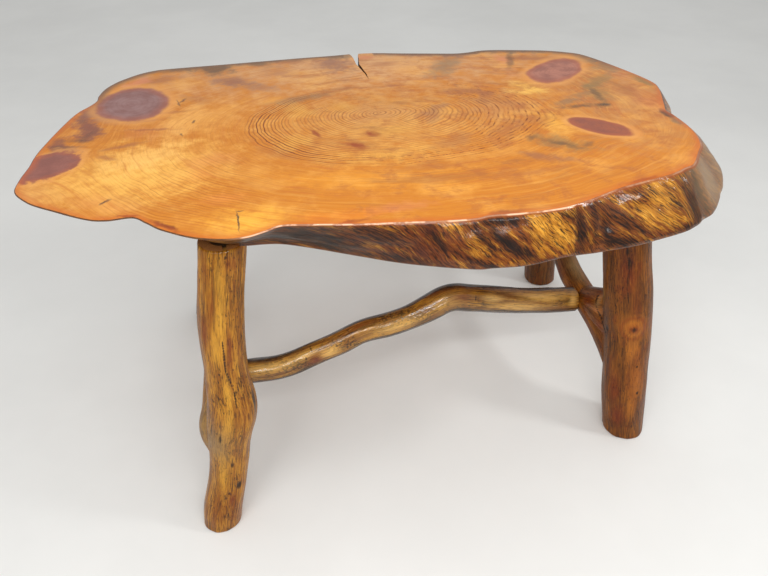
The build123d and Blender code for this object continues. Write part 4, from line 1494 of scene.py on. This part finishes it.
class SLABTABLE_OT_front_right_leg(bpy.types.Operator):
    """Build the front right leg with its forked brace"""

    bl_idname = "slabtable.front_right_leg"
    bl_label = "Front right leg"

    def execute(self, context):
        settings = context.scene.slabtable_logs
        arms = [RIGHT_BRACE, RIGHT_WEB, RIGHT_WEB_HEART]
        marks = {**FRONT_RIGHT_MARKS, "crack": crack_marks(FRONT_RIGHT_CRACKS)}
        piece = build_leg("front_right_fork", FRONT_RIGHT_LOG, settings, 2, arms, marks, RIGHT_KNOBS)
        tones = (colour(200, 120, 40), colour(138, 80, 20), colour(98, 55, 12), settings.dark)
        material = log_material("russet_log", tones, 0.4, 0.2)
        finish_log(piece, material, "front_right_leg")
        return {"FINISHED"}


class SLABTABLE_OT_back_legs(bpy.types.Operator):
    """Build the two back legs"""

    bl_idname = "slabtable.back_legs"
    bl_label = "Back legs"

    def execute(self, context):
        settings = context.scene.slabtable_logs
        # The back legs get a darker copy of the log tones for the shade under the table: painted shade.
        tones = (colour(160, 96, 36), colour(124, 73, 22), colour(88, 50, 14), settings.dark)
        material = log_material("shaded_log", tones, 0.4, 0.2)
        for name, log, node, seed in (
            ("back_left_log", BACK_LEFT_LOG, "back_left_leg", 3),
            ("back_right_log", BACK_RIGHT_LOG, "back_right_leg", 4),
        ):
            piece = build_leg(name, log, settings, seed)
            finish_log(piece, material, node)
        return {"FINISHED"}


class SLABTABLE_OT_stretcher(bpy.types.Operator):
    """Build the crooked stretcher"""

    bl_idname = "slabtable.stretcher"
    bl_label = "Stretcher"

    def execute(self, context):
        settings = context.scene.slabtable_logs
        piece = tube("crooked_stretcher", STRETCHER)
        marks = {**STRETCHER_MARKS, "crack": crack_marks(STRETCHER_CRACKS)}
        # The stretcher's upper back and lower front get painted shade.
        shape_log(piece, [log_path(STRETCHER)], settings, 5, marks, pitted_zones=WORM_EATEN, painted_shade=0.85)
        pick(piece)
        bpy.ops.object.shade_smooth()
        # The pale first tone, laid where the bright marks are, is light enough to serve as painted highlight.
        tones = (colour(242, 194, 112), colour(184, 128, 40), colour(122, 72, 24), settings.dark)
        material = log_material("golden_branch", tones, 0.2, 0.8)
        finish_log(piece, material, "long_stretcher")
        return {"FINISHED"}


class SLABTABLE_OT_joinery(bpy.types.Operator):
    """Finish the tenon wedges and joint pegs"""

    bl_idname = "slabtable.joinery"
    bl_label = "Wedges and pegs"

    def execute(self, context):
        settings = context.scene.slabtable_joinery
        wedge = joinery_material("wedge_wood", settings.wedge, colour(120, 80, 46))
        peg = joinery_material("peg_wood", settings.peg, colour(116, 68, 32))
        for node, material in (("leg_tenon_wedges", wedge), ("joint_pegs", peg)):
            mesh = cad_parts[node].data
            mesh.materials.clear()
            mesh.materials.append(material)
        return {"FINISHED"}


# ---------------------------------------------------------------- stage


# Lamps: name, place and aim in metres, size, power in watts, and height of those that are strips.
LAMPS = [
    ("key", (-1.3, -1.9, 2.6), (0, 0, 0.5), 1.2, 18, None),
    ("flash", (-0.1, -1.38, 1.42), (0, -0.1, 0.4), 0.6, 5.5, 0.08),
    ("window", (1.39, -0.7, 1.95), (0.38, -0.34, 0.72), 0.26, 8, None),
    ("strip", (0, -1.4, 1.85), (0, -0.2, 0.6), 1.8, 10, 0.1),
    ("ceiling", (0.3, 0.4, 3), (0, 0, 0.4), 2.4, 10, None),
]
SKY_LIGHT = 0.58        # strength of the even light from all round
CAMERA_PLACE = (-0.21046, -1.25445, 1.312)
CAMERA_TURN = (52, 0, -10)      # degrees
CAMERA_LENS = 32.8125   # millimetres, with a sensor 36 wide
FLOOR_LEVEL = -0.0005   # metres, a little below the feet


def area_lamp(name, place, aim, size, power, height):
    """A soft lamp that points at a place: square, or a strip where a height is given."""
    bpy.ops.object.light_add(type="AREA", location=place)
    lamp = bpy.context.object
    lamp.name = name
    lamp.data.size = size
    if height:
        lamp.data.shape = "RECTANGLE"
        lamp.data.size_y = height
    lamp.data.energy = power
    lamp.rotation_euler = (Vector(aim) - Vector(place)).to_track_quat("-Z", "Y").to_euler()


class SLABTABLE_OT_stage(bpy.types.Operator):
    """Build the floor, the lamps and the camera"""

    bl_idname = "slabtable.stage"
    bl_label = "Stage"

    def execute(self, context):
        settings = context.scene.slabtable_stage
        deselect()
        bpy.ops.mesh.primitive_plane_add(size=14.0, location=(0, 0, FLOOR_LEVEL))
        floor = bpy.context.object
        floor.name = "floor"
        pick(floor)
        bpy.ops.object.transform_apply(location=True, rotation=True, scale=True)
        wires = Wiring("pale_floor")
        mottle = wires.grain(wires.object_place(), (900, 900, 900), 5, 0.6)
        red, green, blue, _ = settings.floor
        dimmer = (red * 0.93, green * 0.93, blue * 0.93, 1)
        base = wires.wash(settings.floor, mottle, 0.3, 0.7, 1.0, dimmer)
        wires.finish(base, 0.8, coat=0.0)
        floor.data.materials.append(wires.material)

        world = bpy.data.worlds.new("studio")
        context.scene.world = world
        world.use_nodes = True
        tree = world.node_tree
        tree.nodes.clear()
        background = tree.nodes.new("ShaderNodeBackground")
        background.inputs["Color"].default_value = (1, 1, 1, 1)
        background.inputs["Strength"].default_value = SKY_LIGHT * settings.light
        output = tree.nodes.new("ShaderNodeOutputWorld")
        tree.links.new(background.outputs[0], output.inputs["Surface"])

        for name, place, aim, size, power, height in LAMPS:
            area_lamp(name, place, aim, size, power * settings.light, height)

        turns = [math.radians(turn) for turn in CAMERA_TURN]
        bpy.ops.object.camera_add(location=CAMERA_PLACE, rotation=turns)
        camera = bpy.context.object
        camera.data.lens = CAMERA_LENS
        camera.data.sensor_width = 36
        camera.data.clip_end = 60
        context.scene.camera = camera
        context.scene.view_settings.view_transform = "Standard"
        return {"FINISHED"}


# ---------------------------------------------------------------- panel and registration

BUILD_ORDER = [
    SLABTABLE_OT_slab,
    SLABTABLE_OT_front_left_leg,
    SLABTABLE_OT_front_right_leg,
    SLABTABLE_OT_back_legs,
    SLABTABLE_OT_stretcher,
    SLABTABLE_OT_joinery,
    SLABTABLE_OT_stage,
]


class SLABTABLE_PT_panel(bpy.types.Panel):
    bl_idname = "SLABTABLE_PT_panel"
    bl_label = "Slab Table"
    bl_space_type = "VIEW_3D"
    bl_region_type = "UI"
    bl_category = "Slab Table"

    def draw(self, context):
        for operator in BUILD_ORDER:
            self.layout.operator(operator.bl_idname)
        for group in SETTINGS_GROUPS:
            settings = getattr(context.scene, group)
            for key in settings.bl_rna.properties.keys():
                if key not in ("rna_type", "name"):
                    self.layout.prop(settings, key)


SETTINGS_GROUPS = {
    "slabtable_slab": SlabSettings,
    "slabtable_logs": LogSettings,
    "slabtable_joinery": JoinerySettings,
    "slabtable_stage": StageSettings,
}


def register():
    for name, group in SETTINGS_GROUPS.items():
        bpy.utils.register_class(group)
        setattr(bpy.types.Scene, name, PointerProperty(type=group))
    for operator in BUILD_ORDER:
        bpy.utils.register_class(operator)
    bpy.utils.register_class(SLABTABLE_PT_panel)


def unregister():
    bpy.utils.unregister_class(SLABTABLE_PT_panel)
    for operator in reversed(BUILD_ORDER):
        bpy.utils.unregister_class(operator)
    for name, group in SETTINGS_GROUPS.items():
        delattr(bpy.types.Scene, name)
        bpy.utils.unregister_class(group)


def main():
    register()
    bpy.ops.slabtable.slab()
    bpy.ops.slabtable.front_left_leg()
    bpy.ops.slabtable.front_right_leg()
    bpy.ops.slabtable.back_legs()
    bpy.ops.slabtable.stretcher()
    bpy.ops.slabtable.joinery()
    bpy.ops.slabtable.stage()


if __name__ == "__main__":
    main()
